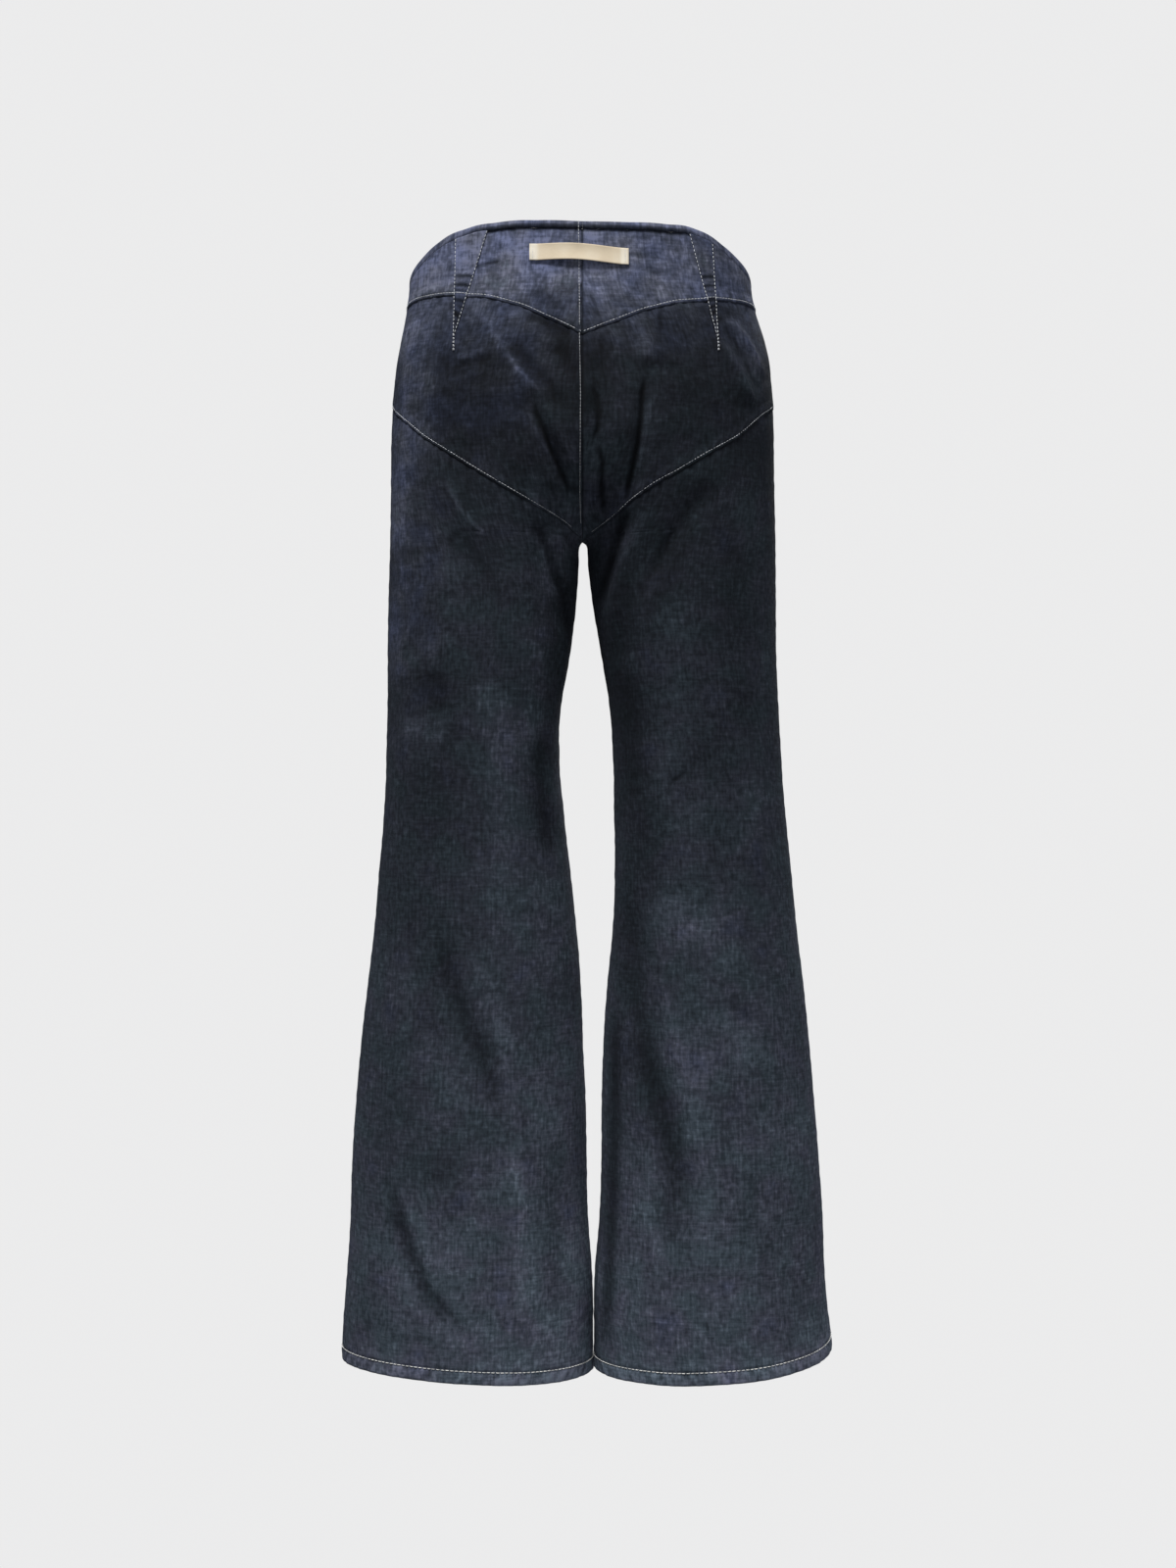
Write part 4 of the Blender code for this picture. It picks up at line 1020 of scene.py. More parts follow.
def panel_points(side, cloth_side, share, heights, top_edge, bottom_edge, seed):
    """(points, normals, map, tone) of a panel with its folds and its sewn edges."""
    bare = skin(side, cloth_side, share, heights, folded=False)[0]
    point, normal, paler = skin(side, cloth_side, share, heights)
    across, down = measured(bare)
    width, length = across[:, -1:], down[-1:]
    # The tone holds painted light and shade from the height tables and the folds, as well as the cloth's own
    # fading.
    tone = dye_and_painted_light(side, cloth_side, share, heights) + paler
    lift = np.zeros_like(heights)
    edges = ((top_edge, down, across), (bottom_edge, length - down, across),
             ("plain", across, heights), ("plain", width - across, heights))
    for number, (kind, distance, along) in enumerate(edges, 1):
        stands, wear_and_shade = edge_finish(kind, distance, along, seed + number)
        if kind == "waist":
            stands, wear_and_shade = stands * rolled(share), wear_and_shade * rolled(share)
        elif kind != "plain":
            stands = stands * (1.0 - LAP_FLATTENED * soft_step(*LAP_FLAT, share))
        lift += stands
        tone = tone + wear_and_shade
    from_side = (share - 1.0) * np.interp(heights, HEIGHTS, ROUND[side, cloth_side])
    from_middle = from_side + np.interp(heights, HEIGHTS, MAP_WIDTH[side, cloth_side]) / 2.0
    cloth_map = np.stack([from_middle + 0.37 * seed, heights + 0.11 * seed], axis=-1)
    return point + normal * lift[..., None], normal, cloth_map, tone


def back_panels(side, seed):
    """The yoke, the seat and the leg of one side of the back."""
    for number, row in enumerate(PANELS):
        solids, above, below, top_edge, bottom_edge, length, pitch = row
        share = spread(PANEL_WIDTH, pitch)
        top, bottom = edge_line(above, side, "back", share), edge_line(below, side, "back", share)
        heights = down_the_cloth(side, "back", share, top, bottom, spread(length, pitch))
        made = panel_points(side, "back", share[None, :], heights, top_edge, bottom_edge, seed + 3.0 * number)
        sheet([f"{solid}_{side}" for solid in solids], *made)


def front_panel(side, seed):
    """One side of the front, in one piece from the waist to the hem."""
    share = spread(PANEL_WIDTH, FRONT_PITCH)
    top, bottom = (edge_line(edge, side, "front", share) for edge in ("waist", "hem"))
    fork = edge_height(FORK_LINE, side, share)
    upper = down_the_cloth(side, "front", share, top, fork, spread(0.22, FRONT_PITCH, last=False))
    lower = down_the_cloth(side, "front", share, fork, bottom, spread(0.80, FRONT_PITCH, first=False))
    heights = np.concatenate([upper, lower[1:]])
    sheet((f"front_{side}", f"front_flare_{side}"),
          *panel_points(side, "front", share[None, :], heights, "waist", "hem", seed))


# ---------------------------------------------------------------- turned edges

def band(solid, rings, cloth_map, tones, closed):
    """A strip swept from rings of points, closed on itself or with its two ends shut."""
    index = np.arange(rings.shape[0] * rings.shape[1]).reshape(rings.shape[:2])
    beside, after = np.roll(index, -1, axis=1), np.roll(index, -1, axis=0)
    quads = np.stack([index, beside, np.roll(beside, -1, axis=0), after], axis=-1)
    parts = [((quads if closed else quads[:-1]).reshape(-1, 4), 0)]
    if not closed:
        parts.append((np.stack([index[0][::-1], index[-1]]), 0))
    points, uv = rings.reshape(-1, 3), cloth_map.reshape(-1, 2)
    made = new_piece(f"{solid}_cloth", points, parts, (DENIM,), uv, tones.ravel())
    finish_piece(made, (solid,))


# Round the turned waist edge: how far down from its top, and how far out from the skin.
EDGE_PROFILE = (
    (0.0069, 0.0002), (0.0066, 0.0009), (0.0050, 0.0013), (0.0030, 0.0013), (0.0014, 0.0009),
    (0.0004, 0.0002), (0.0000, -0.0007), (0.0003, -0.0016), (0.0014, -0.0023), (0.0035, -0.0025),
    (0.0060, -0.0023), (0.0068, -0.0018), (0.0068, -0.0006),
)
# Round the turned-up hem: how far up from the hem, and how far in from the cloth.
HEM_PROFILE = (
    (0.0002, 0.0), (0.0060, -0.0002), (0.0113, 0.0), (0.0119, 0.0005),
    (0.0113, 0.0014), (0.0060, 0.0016), (0.0008, 0.0014), (0.0000, 0.0009),
)
HEM_UP, HEM_IN = 0.0004, 0.0012
BAND_SHARES = np.linspace(0.0, 1.0, 90)
EDGE_MAP_STEP, HEM_MAP_STEP = 0.0015, 0.0020
# The waist edge swells unevenly by this much, with humps this far apart. This share of its strip shows, and
# it stands out by this share of its profile where it lies flattest. Its halves end this far off the centre.
EDGE_SWELL, EDGE_HUMPS, EDGE_SHOWS, EDGE_FLATTEST, OFF_CENTRE = 0.00022, 0.013, 0.55, 0.30, 0.00002
# How pale the waist edge is, how uneven, how much paler where it rolls, and how much painted shade darkens it
# lower down, in the groove under the roll.
EDGE_TONE, EDGE_UNEVEN, ROLL_PALER, LOW_PAINTED_SHADE, LOW_ON_EDGE = 0.78, 0.09, 0.06, 0.42, (0.0034, 0.0052)
HEM_TONE, HEM_UNEVEN, HEM_HUMPS = 0.5, 0.05, 0.02


def waist_edge(side, seed):
    """The cloth turned over and stitched down round half of the waist, from centre back to centre front."""
    rings, uv, tones, gone = [], [], [], 0.0
    for cloth_side, way in (("back", BAND_SHARES), ("front", BAND_SHARES[-2::-1])):
        top = edge_height(WAISTLINE[cloth_side], side, way)
        along = gone + np.abs(way - way[0]) * PANEL_WIDTH
        gone = along[-1]
        wave, roll = uneven(along, EDGE_HUMPS, seed), rolled(way)
        for number, (down, out) in enumerate(EDGE_PROFILE):
            point, normal, _ = skin(side, cloth_side, way, top - down)
            if out > 0.0:
                swell = EDGE_SWELL * wave * min(1.0, 2.0 * down / WAIST_EDGE)
                stands = (out + swell) * (EDGE_FLATTEST + (1.0 - EDGE_FLATTEST) * roll)
            else:
                stands = np.full_like(way, out)
            rings.append(point + normal * stands[:, None])
            uv.append(np.stack([along, np.full_like(along, EDGE_MAP_STEP * number)], axis=-1))
            # Painted shade on the low part of the edge, in the roll's groove.
            paler = ROLL_PALER - LOW_PAINTED_SHADE * soft_step(*LOW_ON_EDGE, down)
            tones.append(EDGE_TONE + EDGE_UNEVEN * wave + paler * roll)
    count = len(EDGE_PROFILE)
    rings, uv, tones = (np.concatenate([np.stack(parts[:count], axis=1), np.stack(parts[count:], axis=1)])
                        for parts in (rings, uv, tones))
    rings[[0, -1], :, 0] = SIGN[side] * OFF_CENTRE
    band(f"waist_edge_{side}", rings, uv, tones, closed=False)


def hem_turn(side, seed):
    """The hem's turned-up cloth, a ring that lies against the inside of the leg."""
    rings, uv, tones, gone = [], [], [], 0.0
    map_height = np.arange(len(HEM_PROFILE)) * HEM_MAP_STEP
    for cloth_side, way in (("back", BAND_SHARES[:-1]), ("front", BAND_SHARES[:0:-1])):
        along = gone + np.abs(way - way[0]) * PANEL_WIDTH
        gone = along[-1] + PANEL_WIDTH / (len(BAND_SHARES) - 1)
        hem, parts = edge_height(HEM_EDGE[cloth_side], side, way), []
        for up, depth in HEM_PROFILE:
            point, normal, _ = skin(side, cloth_side, way, hem + up + HEM_UP)
            parts.append(point - normal * (CLOTH + HEM_IN + depth))
        rings.append(np.stack(parts, axis=1))
        uv.append(np.stack(np.broadcast_arrays(along[:, None], map_height), axis=-1))
        tone = HEM_TONE + HEM_UNEVEN * uneven(along, HEM_HUMPS, seed)
        tones.append(np.broadcast_to(tone[:, None], (len(way), len(HEM_PROFILE))))
    rings, uv, tones = (np.concatenate(part) for part in (rings, uv, tones))
    band(f"hem_turn_{side}", rings, uv, tones, closed=True)


# ---------------------------------------------------------------- pieces that lie on others

DARTS = (("left", 0.087, 0.116, 0.117), ("right", 0.098, 0.119, 0.123))
DART_TOP_HEIGHT, DART_TIP_HEIGHT, DART_TIP_WIDTH, DART_CLOSES = 0.030, -0.079, 0.0007, 0.86
DART_THICKNESS, DART_DARKER, DART_PITCH = 0.0005, {"left": -0.02, "right": -0.20}, 0.0036
DART_LENGTH, DART_PUFF, DART_LAID, DART_OVER_SEAM, SEAM_HALF_WIDTH = 0.115, 0.0006, 0.0006, 0.0006, 0.008
LABEL_MIDDLE, LABEL_SIZE, LABEL_SLOPE = (-0.003, 0.010), (0.090, 0.0155), -0.049
LABEL_THICKNESS, LABEL_BULGE, LABEL_SAG, LABEL_CURL, LABEL_FOLDS = 0.0009, 0.0030, 0.0012, 0.0009, 0.0004
# How pale the label is, how much paler at its ends, how streaky, and how much darker along its long edges.
LABEL_TONE, LABEL_ENDS, LABEL_STREAKS, LABEL_EDGES = 0.50, 0.26, 0.05, 0.08
FLY_OVERLAP, FLY_WIDTH, FLY_LENGTH, FLY_ROUND, FLY_FOOT = 0.003, 0.036, 0.140, 0.30, 0.98
FLY_EDGE_LOW, FLY_RISE, FLY_UNEVEN, FLY_EDGE_PALER = 0.0003, 0.0007, 0.0003, 0.12
BUTTON_OUT, BUTTON_DOWN, BUTTON_RADIUS = -0.011, 0.020, 0.0085
# How the button's face and its shank are turned from a flat disc.
BUTTON_FACE = (
    ("inset", 0.0008), ("move", 0.0005), ("inset", 0.0010), ("move", -0.0006), ("inset", 0.0022),
    ("inset", 0.0005), ("move", 0.0004), ("inset", 0.0016), ("move", 0.0002),
)
BUTTON_SHANK = (("inset", 0.0008), ("move", -0.0003), ("inset", 0.0047), ("extrude", -0.0018))
LAID_ON = 0.0014


def centre_height(cloth_side):
    """The height of the waistline at the centre back or the centre front."""
    return float(edge_height(WAISTLINE[cloth_side], "left", 0.0))


def dart_lines(side, inner_top, outer_top, tip, over, down):
    """(across, height) of the dart's wedge, at these shares over it and down it."""
    across_top = inner_top + (outer_top - inner_top) * over
    top_share = share_at(side, "back", across_top, DART_TOP_HEIGHT)
    top = edge_height(WAISTLINE["back"], side, top_share) - WAIST_EDGE
    height = top * (1.0 - down) + DART_TIP_HEIGHT * down
    across_tip = tip - DART_TIP_WIDTH * (1.0 - over)
    closed = np.minimum(1.0, down / DART_CLOSES)
    return (across_top * (1.0 - closed) + across_tip * closed) * SIGN[side], height


def over_the_seam(side, across, height):
    """From 1 on the yoke seam to 0 away from it."""
    seam = edge_height(YOKE_SEAM, side, share_at(side, "back", across, height))
    return np.exp(-(((height - seam) / SEAM_HALF_WIDTH) ** 2))


def dart_lift(side, across, height):
    """How far off the skin the dart's face lies: further over the yoke seam."""
    return DART_THICKNESS + DART_LAID + DART_OVER_SEAM * over_the_seam(side, across, height)


def dart(side, inner_top, outer_top, tip, seed):
    """A dart's spare cloth: a wedge that puffs between its two lines of stitching and creases across them."""
    down, over = grid(76, 19)
    across, height = dart_lines(side, inner_top, outer_top, tip, over, down)
    points, normals = on_skin("back", across, height)
    along = DART_LENGTH * down
    puff = 4.0 * over * (1.0 - over)
    crease = uneven(along + 0.012 * over, 0.010, seed) * (0.35 + 0.65 * down)
    held = 1.0 - over_the_seam(side, across, height)
    lift = dart_lift(side, across, height) + puff * held * DART_PUFF * (1.0 - 0.75 * down + crease)
    ticks = np.minimum(0.0, uneven(along + 0.006 * over, 0.0075, seed + 3.0)) * soft_step(0.20, 0.45, down)
    tone = dye_and_painted_light(side, "back", share_at(side, "back", across, height), height)
    # Painted light on the crests of the dart's creases and painted shade in their dips and in the ticks.
    tone = tone + 0.12 * puff * crease + 0.75 * ticks
    tone = tone + DART_DARKER[side] * (1.0 - soft_step(0.35, 0.80, down))
    cloth_map = np.stack([across + 2.0, height + 0.3], axis=-1)
    sheet((f"dart_{side}",), points + normals * lift[..., None], normals, cloth_map, tone, DART_THICKNESS)


def label():
    """A blank strip of tape, sewn down at its two folded ends, its middle bowed off the yoke."""
    down, over = grid(17, 73)
    right, up = LABEL_SIZE[0] * (over - 0.5), LABEL_SIZE[1] * (0.5 - down)
    sag = LABEL_SAG * np.sin(over * np.pi) * np.sin(3.2 * over + 0.4)
    height = LABEL_MIDDLE[1] + up + LABEL_SLOPE * right + sag
    points, normals = on_skin("back", LABEL_MIDDLE[0] + right, height)
    bow = LABEL_BULGE * np.sin(np.clip((over - 0.05) / 0.90, 0.0, 1.0) * np.pi) ** 1.2
    edges = (2.0 * down - 1.0) ** 2
    folds = LABEL_FOLDS * (soft_step(0.93, 0.95, over) + 1.0 - soft_step(0.05, 0.07, over))
    lift = LAID_ON + LABEL_THICKNESS + bow + LABEL_CURL * edges * np.sin(over * np.pi) + folds
    ends = soft_step(0.90, 0.94, over) + 1.0 - soft_step(0.06, 0.10, over)
    tone = LABEL_TONE + LABEL_ENDS * ends + LABEL_STREAKS * np.sin(23.0 * over) - LABEL_EDGES * edges
    cloth_map = np.stack(np.broadcast_arrays(right, up), axis=-1)
    points = points + normals * lift[..., None]
    sheet(("label",), points, normals, cloth_map, tone, LABEL_THICKNESS, "label_tape")


def fly_grid(down, over):
    """(across, height) of the fly's lap, at these shares over it and down it."""
    curve = np.clip((down - 1.0 + FLY_ROUND) / FLY_ROUND, 0.0, FLY_FOOT)
    width = FLY_WIDTH * np.sqrt(1.0 - curve**2)
    top = centre_height("front") - WAIST_EDGE
    return FLY_OVERLAP - (FLY_OVERLAP + width) * over, top - FLY_LENGTH * down + 0.0 * over


def fly(seed):
    """The fly's lap over the centre front."""
    down, over = grid(61, 19)
    across, height = fly_grid(down, over)
    points, normals = on_skin("front", across, height)
    edge = np.minimum(over, 1.0 - over) * FLY_WIDTH
    lift = LAID_ON + CLOTH - FLY_EDGE_LOW
    lift = lift + FLY_RISE * soft_step(0.0, 0.004, edge) + FLY_UNEVEN * uneven(height, 0.02, seed)
    tone = dye_and_painted_light("left", "front", 0.0, height) + FLY_EDGE_PALER * (1.0 - soft_step(0.0, 0.005, edge))
    cloth_map = np.stack([across + 3.0, height], axis=-1)
    sheet(("fly_front",), points + normals * lift[..., None], normals, cloth_map, tone)


def in_edit_mode(made, way, turning):
    """Turns the flat face that looks this way, 1 for up and -1 for down, in these steps."""
    bpy.ops.object.mode_set(mode="EDIT")
    bpy.ops.mesh.select_mode(type="FACE")
    mesh = bmesh.from_edit_mesh(made.data)
    for face in mesh.faces:
        face.select_set(face.normal.z * way > 0.9 and face.calc_center_median().length < BUTTON_RADIUS)
    mesh.select_flush_mode()
    bmesh.update_edit_mesh(made.data)
    for step, amount in turning:
        if step == "inset":
            bpy.ops.mesh.inset(thickness=amount)
        elif step == "move":
            bpy.ops.transform.translate(value=(0.0, 0.0, amount))
        else:
            bpy.ops.mesh.extrude_region_move(TRANSFORM_OT_translate={"value": (0.0, 0.0, amount)})
    bpy.ops.object.mode_set(mode="OBJECT")


def fly_button():
    """A turned shank button, shaped from a disc, its axis square to the fly."""
    bpy.ops.object.select_all(action="DESELECT")
    bpy.ops.mesh.primitive_cylinder_add(vertices=48, radius=BUTTON_RADIUS, depth=0.0012,
                                        location=(0.0, 0.0, 0.0028))
    made = bpy.context.object
    made.name = "fly_button_metal"
    in_edit_mode(made, 1.0, BUTTON_FACE)
    in_edit_mode(made, -1.0, BUTTON_SHANK)
    bevel = made.modifiers.new("rounding", "BEVEL")
    bevel.width, bevel.segments = 0.00022, 2
    bevel.limit_method, bevel.angle_limit = "ANGLE", math.radians(40.0)
    bpy.context.view_layer.objects.active = made
    made.select_set(True)
    bpy.ops.object.modifier_apply(modifier=bevel.name)
    bpy.ops.object.shade_smooth_by_angle(angle=math.radians(35.0))
    point, normal = on_skin("front", np.array([BUTTON_OUT]), np.array([centre_height("front") - BUTTON_DOWN]))
    turn = Vector(normal[0]).to_track_quat("Z", "Y").to_matrix().to_4x4()
    place = Matrix.Translation(Vector(point[0] + normal[0] * (CLOTH + LAID_ON)))
    made.data.transform(place @ turn @ Matrix.Translation((0.0, 0.0, 0.0002)))
    made.location = (0.0, 0.0, 0.0)
    made.data.materials.append(BRASS)
    finish_piece(made, ("fly_button",))


# ---------------------------------------------------------------- stitching

THREAD_RADIUS = 0.00025
STITCH_SIDES = 6
# A stitch from end to end: share of its length, and how far its middle stands off the cloth, in radii.
STITCH_RISE = ((0.0, -0.9), (0.16, 0.35), (0.5, 0.75), (0.84, 0.35), (1.0, -0.9))
# How thick it is at each of those places, as a share of the thread's radius.
STITCH_THIN = (0.55, 0.95, 1.0, 0.95, 0.55)
# How uneven stitches are, and over about what length: in their place, as a share of their pitch, in their
# lean, as a share of the thread's radius, and in how pale they are, twice, with what each adds to the seed.
STITCH_SHIFT, STITCH_LEAN = (0.06, 0.017), (0.10, 0.009)
STITCH_PALER = ((0.26, 0.023, 5.0), (0.14, 0.006, 7.0))
# The direction of a line is taken over twice this length.
LOOK_ALONG = 0.0004
SEAM_PITCH, HEM_PITCH = 0.0031, 0.0042


def sewn(line, seed, pale, pitch=SEAM_PITCH, radius=THREAD_RADIUS, cover=0.80):
    """A line of stitches on these (points, normals). Pale says how pale its thread is at its two ends."""
    return *line, seed, pale, pitch, radius, cover


def on_line(values, gone, wanted):
    """The values of a line's points at these lengths along it."""
    return np.stack([np.interp(wanted, gone, values[:, k]) for k in range(3)], axis=-1)


def stitches(name, lines, finish):
    """All the stitches along these lines as one mesh. A line is what sewn() gives."""
    all_points, all_uv, all_tones, sides, ends, count = [], [], [], [], [], 0
    at, rise = np.array(STITCH_RISE).T
    angle = np.linspace(0.0, 2.0 * np.pi, STITCH_SIDES, endpoint=False)
    shape = (-1, len(at), STITCH_SIDES)
    for points, normals, seed, (pale_first, pale_last), pitch, radius, cover in lines:
        gone = running(steps(points))
        number = max(1, int(gone[-1] / pitch))
        start = (np.arange(number) + 0.5 * (1.0 - cover)) * gone[-1] / number
        start = start + STITCH_SHIFT[0] * pitch * uneven(start, STITCH_SHIFT[1], seed)
        place = start[:, None] + at * pitch * cover
        middle, out = on_line(points, gone, place), on_line(normals, gone, place)
        tangent = unit(on_line(points, gone, place + LOOK_ALONG) - on_line(points, gone, place - LOOK_ALONG))
        out = unit(out - tangent * (out * tangent).sum(axis=-1, keepdims=True))
        side = np.cross(tangent, out)
        lean = STITCH_LEAN[0] * radius * uneven(start, STITCH_LEAN[1], seed + 2.0)
        middle = middle + out * (rise * radius)[:, None] + side * lean[:, None, None]
        ring = out[:, :, None] * np.sin(angle)[:, None] + side[:, :, None] * np.cos(angle)[:, None]
        made = middle[:, :, None] + ring * (np.array(STITCH_THIN) * radius)[:, None, None]
        index = count + np.arange(number * len(at) * STITCH_SIDES).reshape(shape)
        count += index.size
        beside = np.roll(index, -1, axis=2)
        quads = np.stack([index[:, :-1], beside[:, :-1], beside[:, 1:], index[:, 1:]], axis=-1)
        sides.append(quads.reshape(-1, 4))
        ends.append(np.concatenate([index[:, 0, ::-1], index[:, -1]]))
        tone = pale_first + (pale_last - pale_first) * start / gone[-1]
        for paler, length, more in STITCH_PALER:
            tone = tone + paler * uneven(start, length, seed + more)
        all_points.append(made.reshape(-1, 3))
        uv = np.stack(np.broadcast_arrays(place[:, :, None], angle * radius), axis=-1)
        all_uv.append(uv.reshape(-1, 2))
        all_tones.append(np.broadcast_to(tone[:, None, None], index.shape).ravel())
    parts = [(np.concatenate(sides), 0), (np.concatenate(ends), 0)]
    points, uv, tones = (np.concatenate(values) for values in (all_points, all_uv, all_tones))
    finish_piece(new_piece(name, points, parts, (finish,), uv, tones), ())


def seam_line(side, cloth_side, share, height, lift):
    """(points, normals) of a line of stitching on the cloth, lifted by how far the sewn edge stands out."""
    point, normal, _ = skin(side, cloth_side, share, height)
    return point + normal * lift, normal


def line_across(cloth_side, across, height, lift):
    """(points, normals) of a line of stitching at these places across the body, lifted off the cloth."""
    point, normal = on_skin(cloth_side, across, height)
    return point + normal * lift, normal


def on_dart(side, share, height):
    """1 where a line lies on the dart, 0 off it."""
    _, inner_top, outer_top, tip = next(row for row in DARTS if row[0] == side)
    across = np.abs(skin(side, "back", share, height)[0][:, 0])
    down = np.minimum(1.0, (DART_TOP_HEIGHT - height) / (DART_TOP_HEIGHT - DART_TIP_HEIGHT) / DART_CLOSES)
    first = inner_top * (1.0 - down) + (tip - DART_TIP_WIDTH) * down
    last = outer_top * (1.0 - down) + tip * down
    return soft_step(first - 0.002, first, across) * (1.0 - soft_step(last, last + 0.002, across))


SEEDS = (("left", 1.0), ("right", 2.0))
# How pale the thread of the yoke seam and the seat seam is at the centre, and at the side. It is darker at the
# centre of the seat seam, where the crotch lies in shade, and at the right ends, away from the lamps: painted
# shade.
YOKE_PALE = {"left": (0.78, 1.00), "right": (0.78, 0.86)}
SEAT_PALE = {"left": (0.44, 1.00), "right": (0.22, 0.76)}
# The seams with stitching above them: the share it begins at, how far up it is, its seed, how pale it is.
SEAM_LINES = ((YOKE_SEAM, 0.0, 0.0028, 0.0, YOKE_PALE), (SEAT_SEAM, 0.07, 0.0030, 1.0, SEAT_PALE))
# The line of stitching beside the centre back seam: heights, and how far across it is at each.
CENTRE_BACK = (
    (-0.2454, -0.2043, -0.1202, -0.0652, -0.0369, 0.0410),
    (-0.0012, -0.0022, -0.0016, -0.0026, -0.0026, -0.0036),
)
BESIDE_CENTRE_FRONT = -0.0028
# How far off the skin each kind of stitching lies.
ON_LAP, ON_HEM, ON_LAID, ON_STITCHED = 0.0004, 0.0003, 0.0016, 0.0001


def topstitching():
    """Every line of stitching that shows, in three meshes: seams, hems and the label's two ends."""
    seams, hems, ends = [], [], []
    share = np.linspace(0.004, 0.996, 260)
    for side, seed in SEEDS:
        for table, first, up, k, pale in SEAM_LINES:
            kept = share[share > first]
            height = edge_height(table, side, kept) + up
            lift = np.full_like(kept, ON_LAP)
            if table is YOKE_SEAM:
                lift += (DART_THICKNESS + 0.0010) * on_dart(side, kept, height)
            seams.append(sewn(seam_line(side, "back", kept, height, lift[:, None]), seed + k, pale[side]))
        for cloth_side, k in (("back", 3.0), ("front", 4.0)):
            height = edge_height(HEM_EDGE[cloth_side], side, share) + HEM_TURN
            line = seam_line(side, cloth_side, share, height, ON_HEM)
            hems.append(sewn(line, seed + k, (0.84, 0.84), HEM_PITCH, THREAD_RADIUS * 1.7))
    top = centre_height("back")
    height = np.linspace(top - 0.001, CROTCH + 0.012, 300)
    lift = ON_LAP + 0.0012 * soft_step(top - 0.0085, top - 0.0062, height)
    line = line_across("back", np.interp(height, *CENTRE_BACK), height, lift[:, None])
    # The thread is painted darker towards the crotch, as painted shade.
    seams.append(sewn(line, 6.0, (0.80, 0.40), radius=THREAD_RADIUS * 0.9))
    for side, *widths in DARTS:
        for over in (0.0, 1.0):
            across, height = dart_lines(side, *widths, over, np.linspace(0.0, 1.0, 120))
            lift = dart_lift(side, across, height) + ON_STITCHED
            line = line_across("back", across, height, lift[:, None])
            seams.append(sewn(line, 8.0 + over, (0.88, 1.00), DART_PITCH, cover=0.66))
    line = line_across("front", *fly_grid(np.linspace(0.02, 0.985, 200), 0.92), ON_LAID + CLOTH)
    seams.append(sewn(line, 11.0, (0.70, 0.60)))
    height = np.linspace(centre_height("front") - WAIST_EDGE - FLY_LENGTH - 0.002, CROTCH + 0.02, 80)
    line = line_across("front", np.full_like(height, BESIDE_CENTRE_FRONT), height, ON_LAP)
    seams.append(sewn(line, 12.0, (0.60, 0.50)))
    for over in (0.035, 0.965):
        right, up = LABEL_SIZE[0] * (over - 0.5), np.linspace(0.0066, -0.0066, 30)
        line = line_across("back", np.full_like(up, LABEL_MIDDLE[0] + right),
                           LABEL_MIDDLE[1] + up + LABEL_SLOPE * right, LAID_ON + LABEL_THICKNESS + 0.0004)
        ends.append(sewn(line, 14.0 + over, (0.70, 0.70), 0.0026, THREAD_RADIUS * 0.8))
    stitches("seam_stitches", seams, THREAD)
    stitches("hem_stitches", hems, DULL_THREAD)
    stitches("label_stitches", ends, THREAD)


# ---------------------------------------------------------------- the studio

CAMERA_PLACE = (0.0051, -2.4, -0.4718)
SENSOR_WIDTH = 36.0
FOCAL_LENGTH = 2594.6 / 1600.0 * SENSOR_WIDTH
PAPER, BACKGROUND = (0.996, 0.996, 1.0, 1.0), 0.838
AMBIENT_COLOUR, AMBIENT = (0.90, 0.94, 1.0, 1.0), 0.11
LIGHT_COLOUR = (1.0, 0.99, 0.98)
# Each light: its name, where it stands, what it faces, its size and its power.
LIGHTS = (
    ("overhead_softbox", (-1.15, -2.2, 4.2), (0.0, 0.0, -0.4), (2.2, 1.6), 315.0),
    ("low_softbox", (0.3, -3.2, -1.5), (0.0, 0.0, -0.3), (2.0, 1.2), 23.0),
    ("side_softbox", (2.6, -1.8, 0.8), (0.0, 0.0, -0.4), (1.4, 1.8), 16.0),
    ("front_softbox", (0.6, 2.6, 2.4), (0.0, 0.0, -0.4), (1.8, 1.2), 200.0),
)


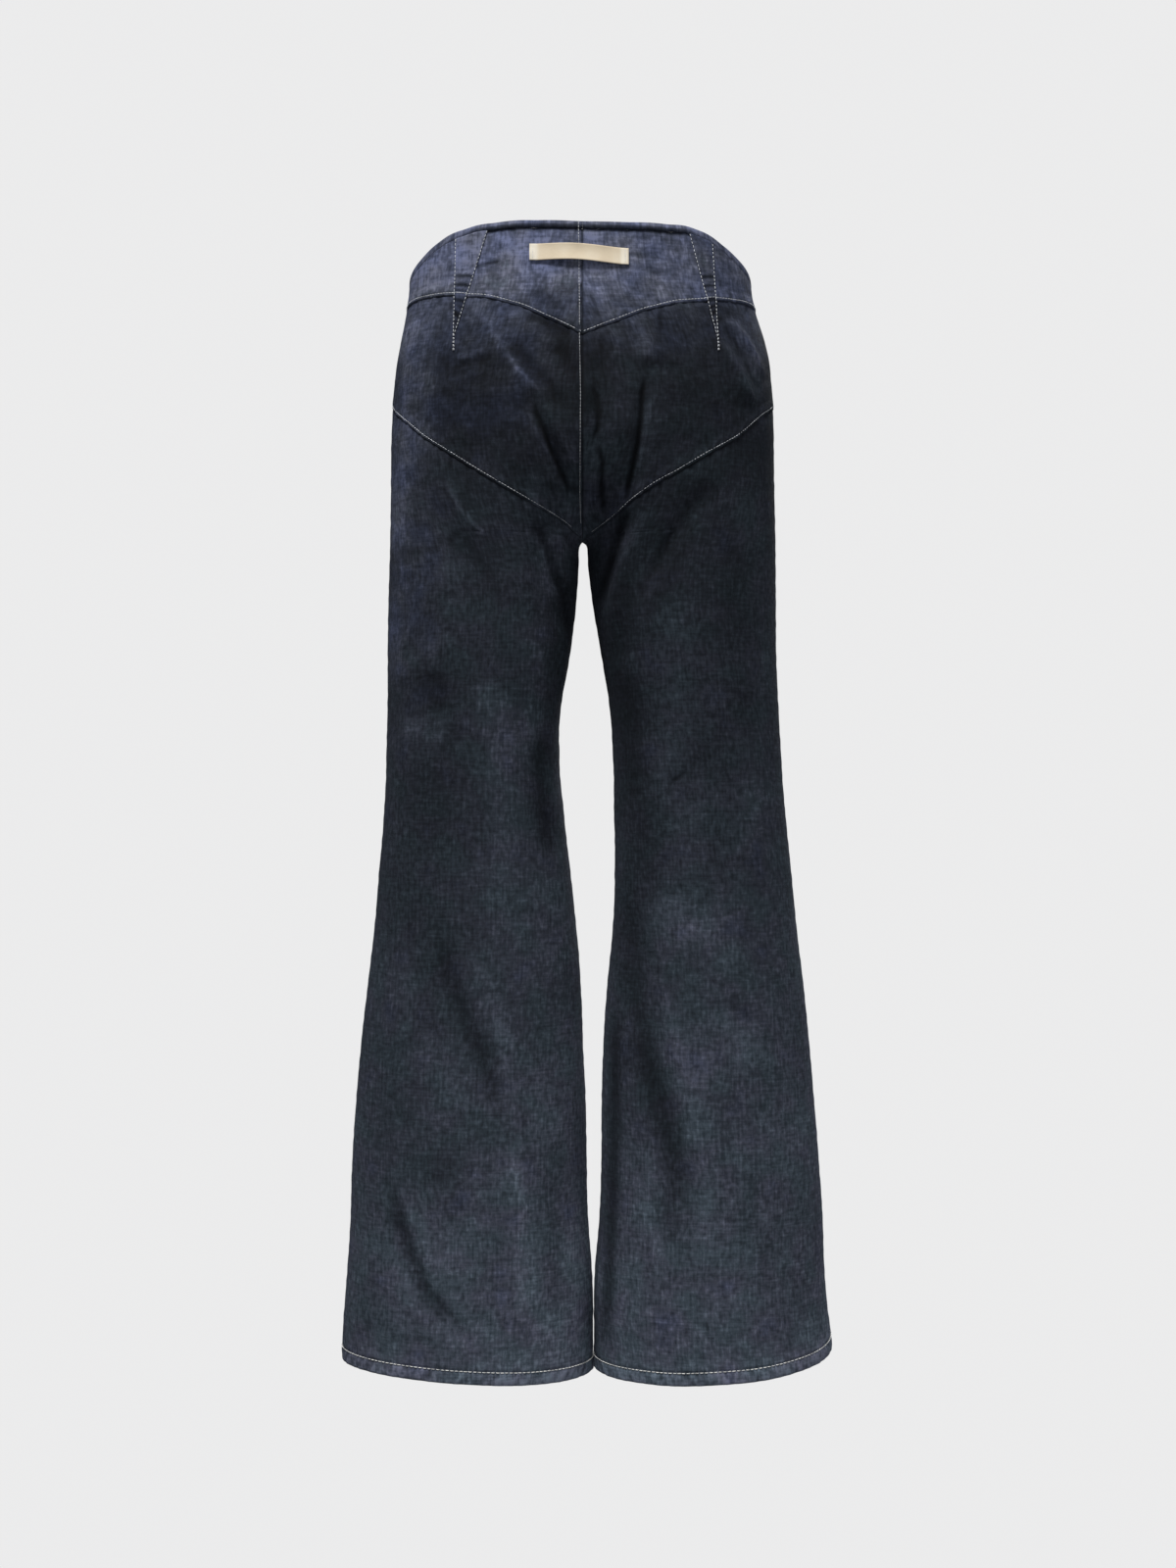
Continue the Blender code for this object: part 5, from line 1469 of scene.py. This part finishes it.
def paper(name):
    """Gives the object made last this name and a plain glowing paper, which only the camera sees."""
    made = bpy.context.object
    made.name = name
    finish = bpy.data.materials.new(f"{name}_paper")
    finish.use_nodes = True
    tree = finish.node_tree
    tree.nodes.clear()
    shade = node(tree, "ShaderNodeEmission", Color=PAPER, Strength=BACKGROUND)
    tree.links.new(shade.outputs[0], tree.nodes.new("ShaderNodeOutputMaterial").inputs[0])
    made.data.materials.append(finish)
    made.visible_diffuse = made.visible_glossy = made.visible_shadow = False
    made.visible_transmission = made.visible_volume_scatter = False
    return made


def studio():
    """A pale floor and surround, soft light from above, and a camera level with the thighs."""
    camera = bpy.data.objects.new("camera", bpy.data.cameras.new("camera"))
    camera.location = CAMERA_PLACE
    camera.rotation_euler = (math.pi / 2.0, 0.0, 0.0)
    camera.data.sensor_width = SENSOR_WIDTH
    camera.data.lens = FOCAL_LENGTH
    camera.data.clip_end = 200.0
    bpy.context.scene.collection.objects.link(camera)
    bpy.context.scene.camera = camera

    world = bpy.data.worlds.new("studio")
    bpy.context.scene.world = world
    world.use_nodes = True
    light = world.node_tree.nodes["Background"].inputs
    light[0].default_value = AMBIENT_COLOUR
    light[1].default_value = AMBIENT

    bpy.ops.mesh.primitive_uv_sphere_add(segments=48, ring_count=24, radius=30.0)
    surround = paper("surround")
    bpy.ops.mesh.primitive_circle_add(vertices=64, radius=29.0, fill_type="NGON", location=(0.0, 0.0, -1.6))
    paper("floor")

    for name, place, aim, size, power in LIGHTS:
        lamp = bpy.data.lights.new(name, "AREA")
        lamp.shape = "RECTANGLE"
        lamp.size, lamp.size_y = size
        lamp.energy = power
        lamp.color = LIGHT_COLOUR
        made = bpy.data.objects.new(name, lamp)
        made.location = place
        made.rotation_mode = "QUATERNION"
        made.rotation_quaternion = (Vector(aim) - Vector(place)).to_track_quat("-Z", "Y")
        bpy.context.scene.collection.objects.link(made)
    bpy.context.scene.view_settings.view_transform = "Standard"


for _side, _seed in SEEDS:
    back_panels(_side, _seed)
    front_panel(_side, _seed + 10.0)
    waist_edge(_side, _seed)
    hem_turn(_side, _seed)
for _number, _dart in enumerate(DARTS):
    dart(*_dart, _number)
label()
fly(1.0)
fly_button()
topstitching()
studio()
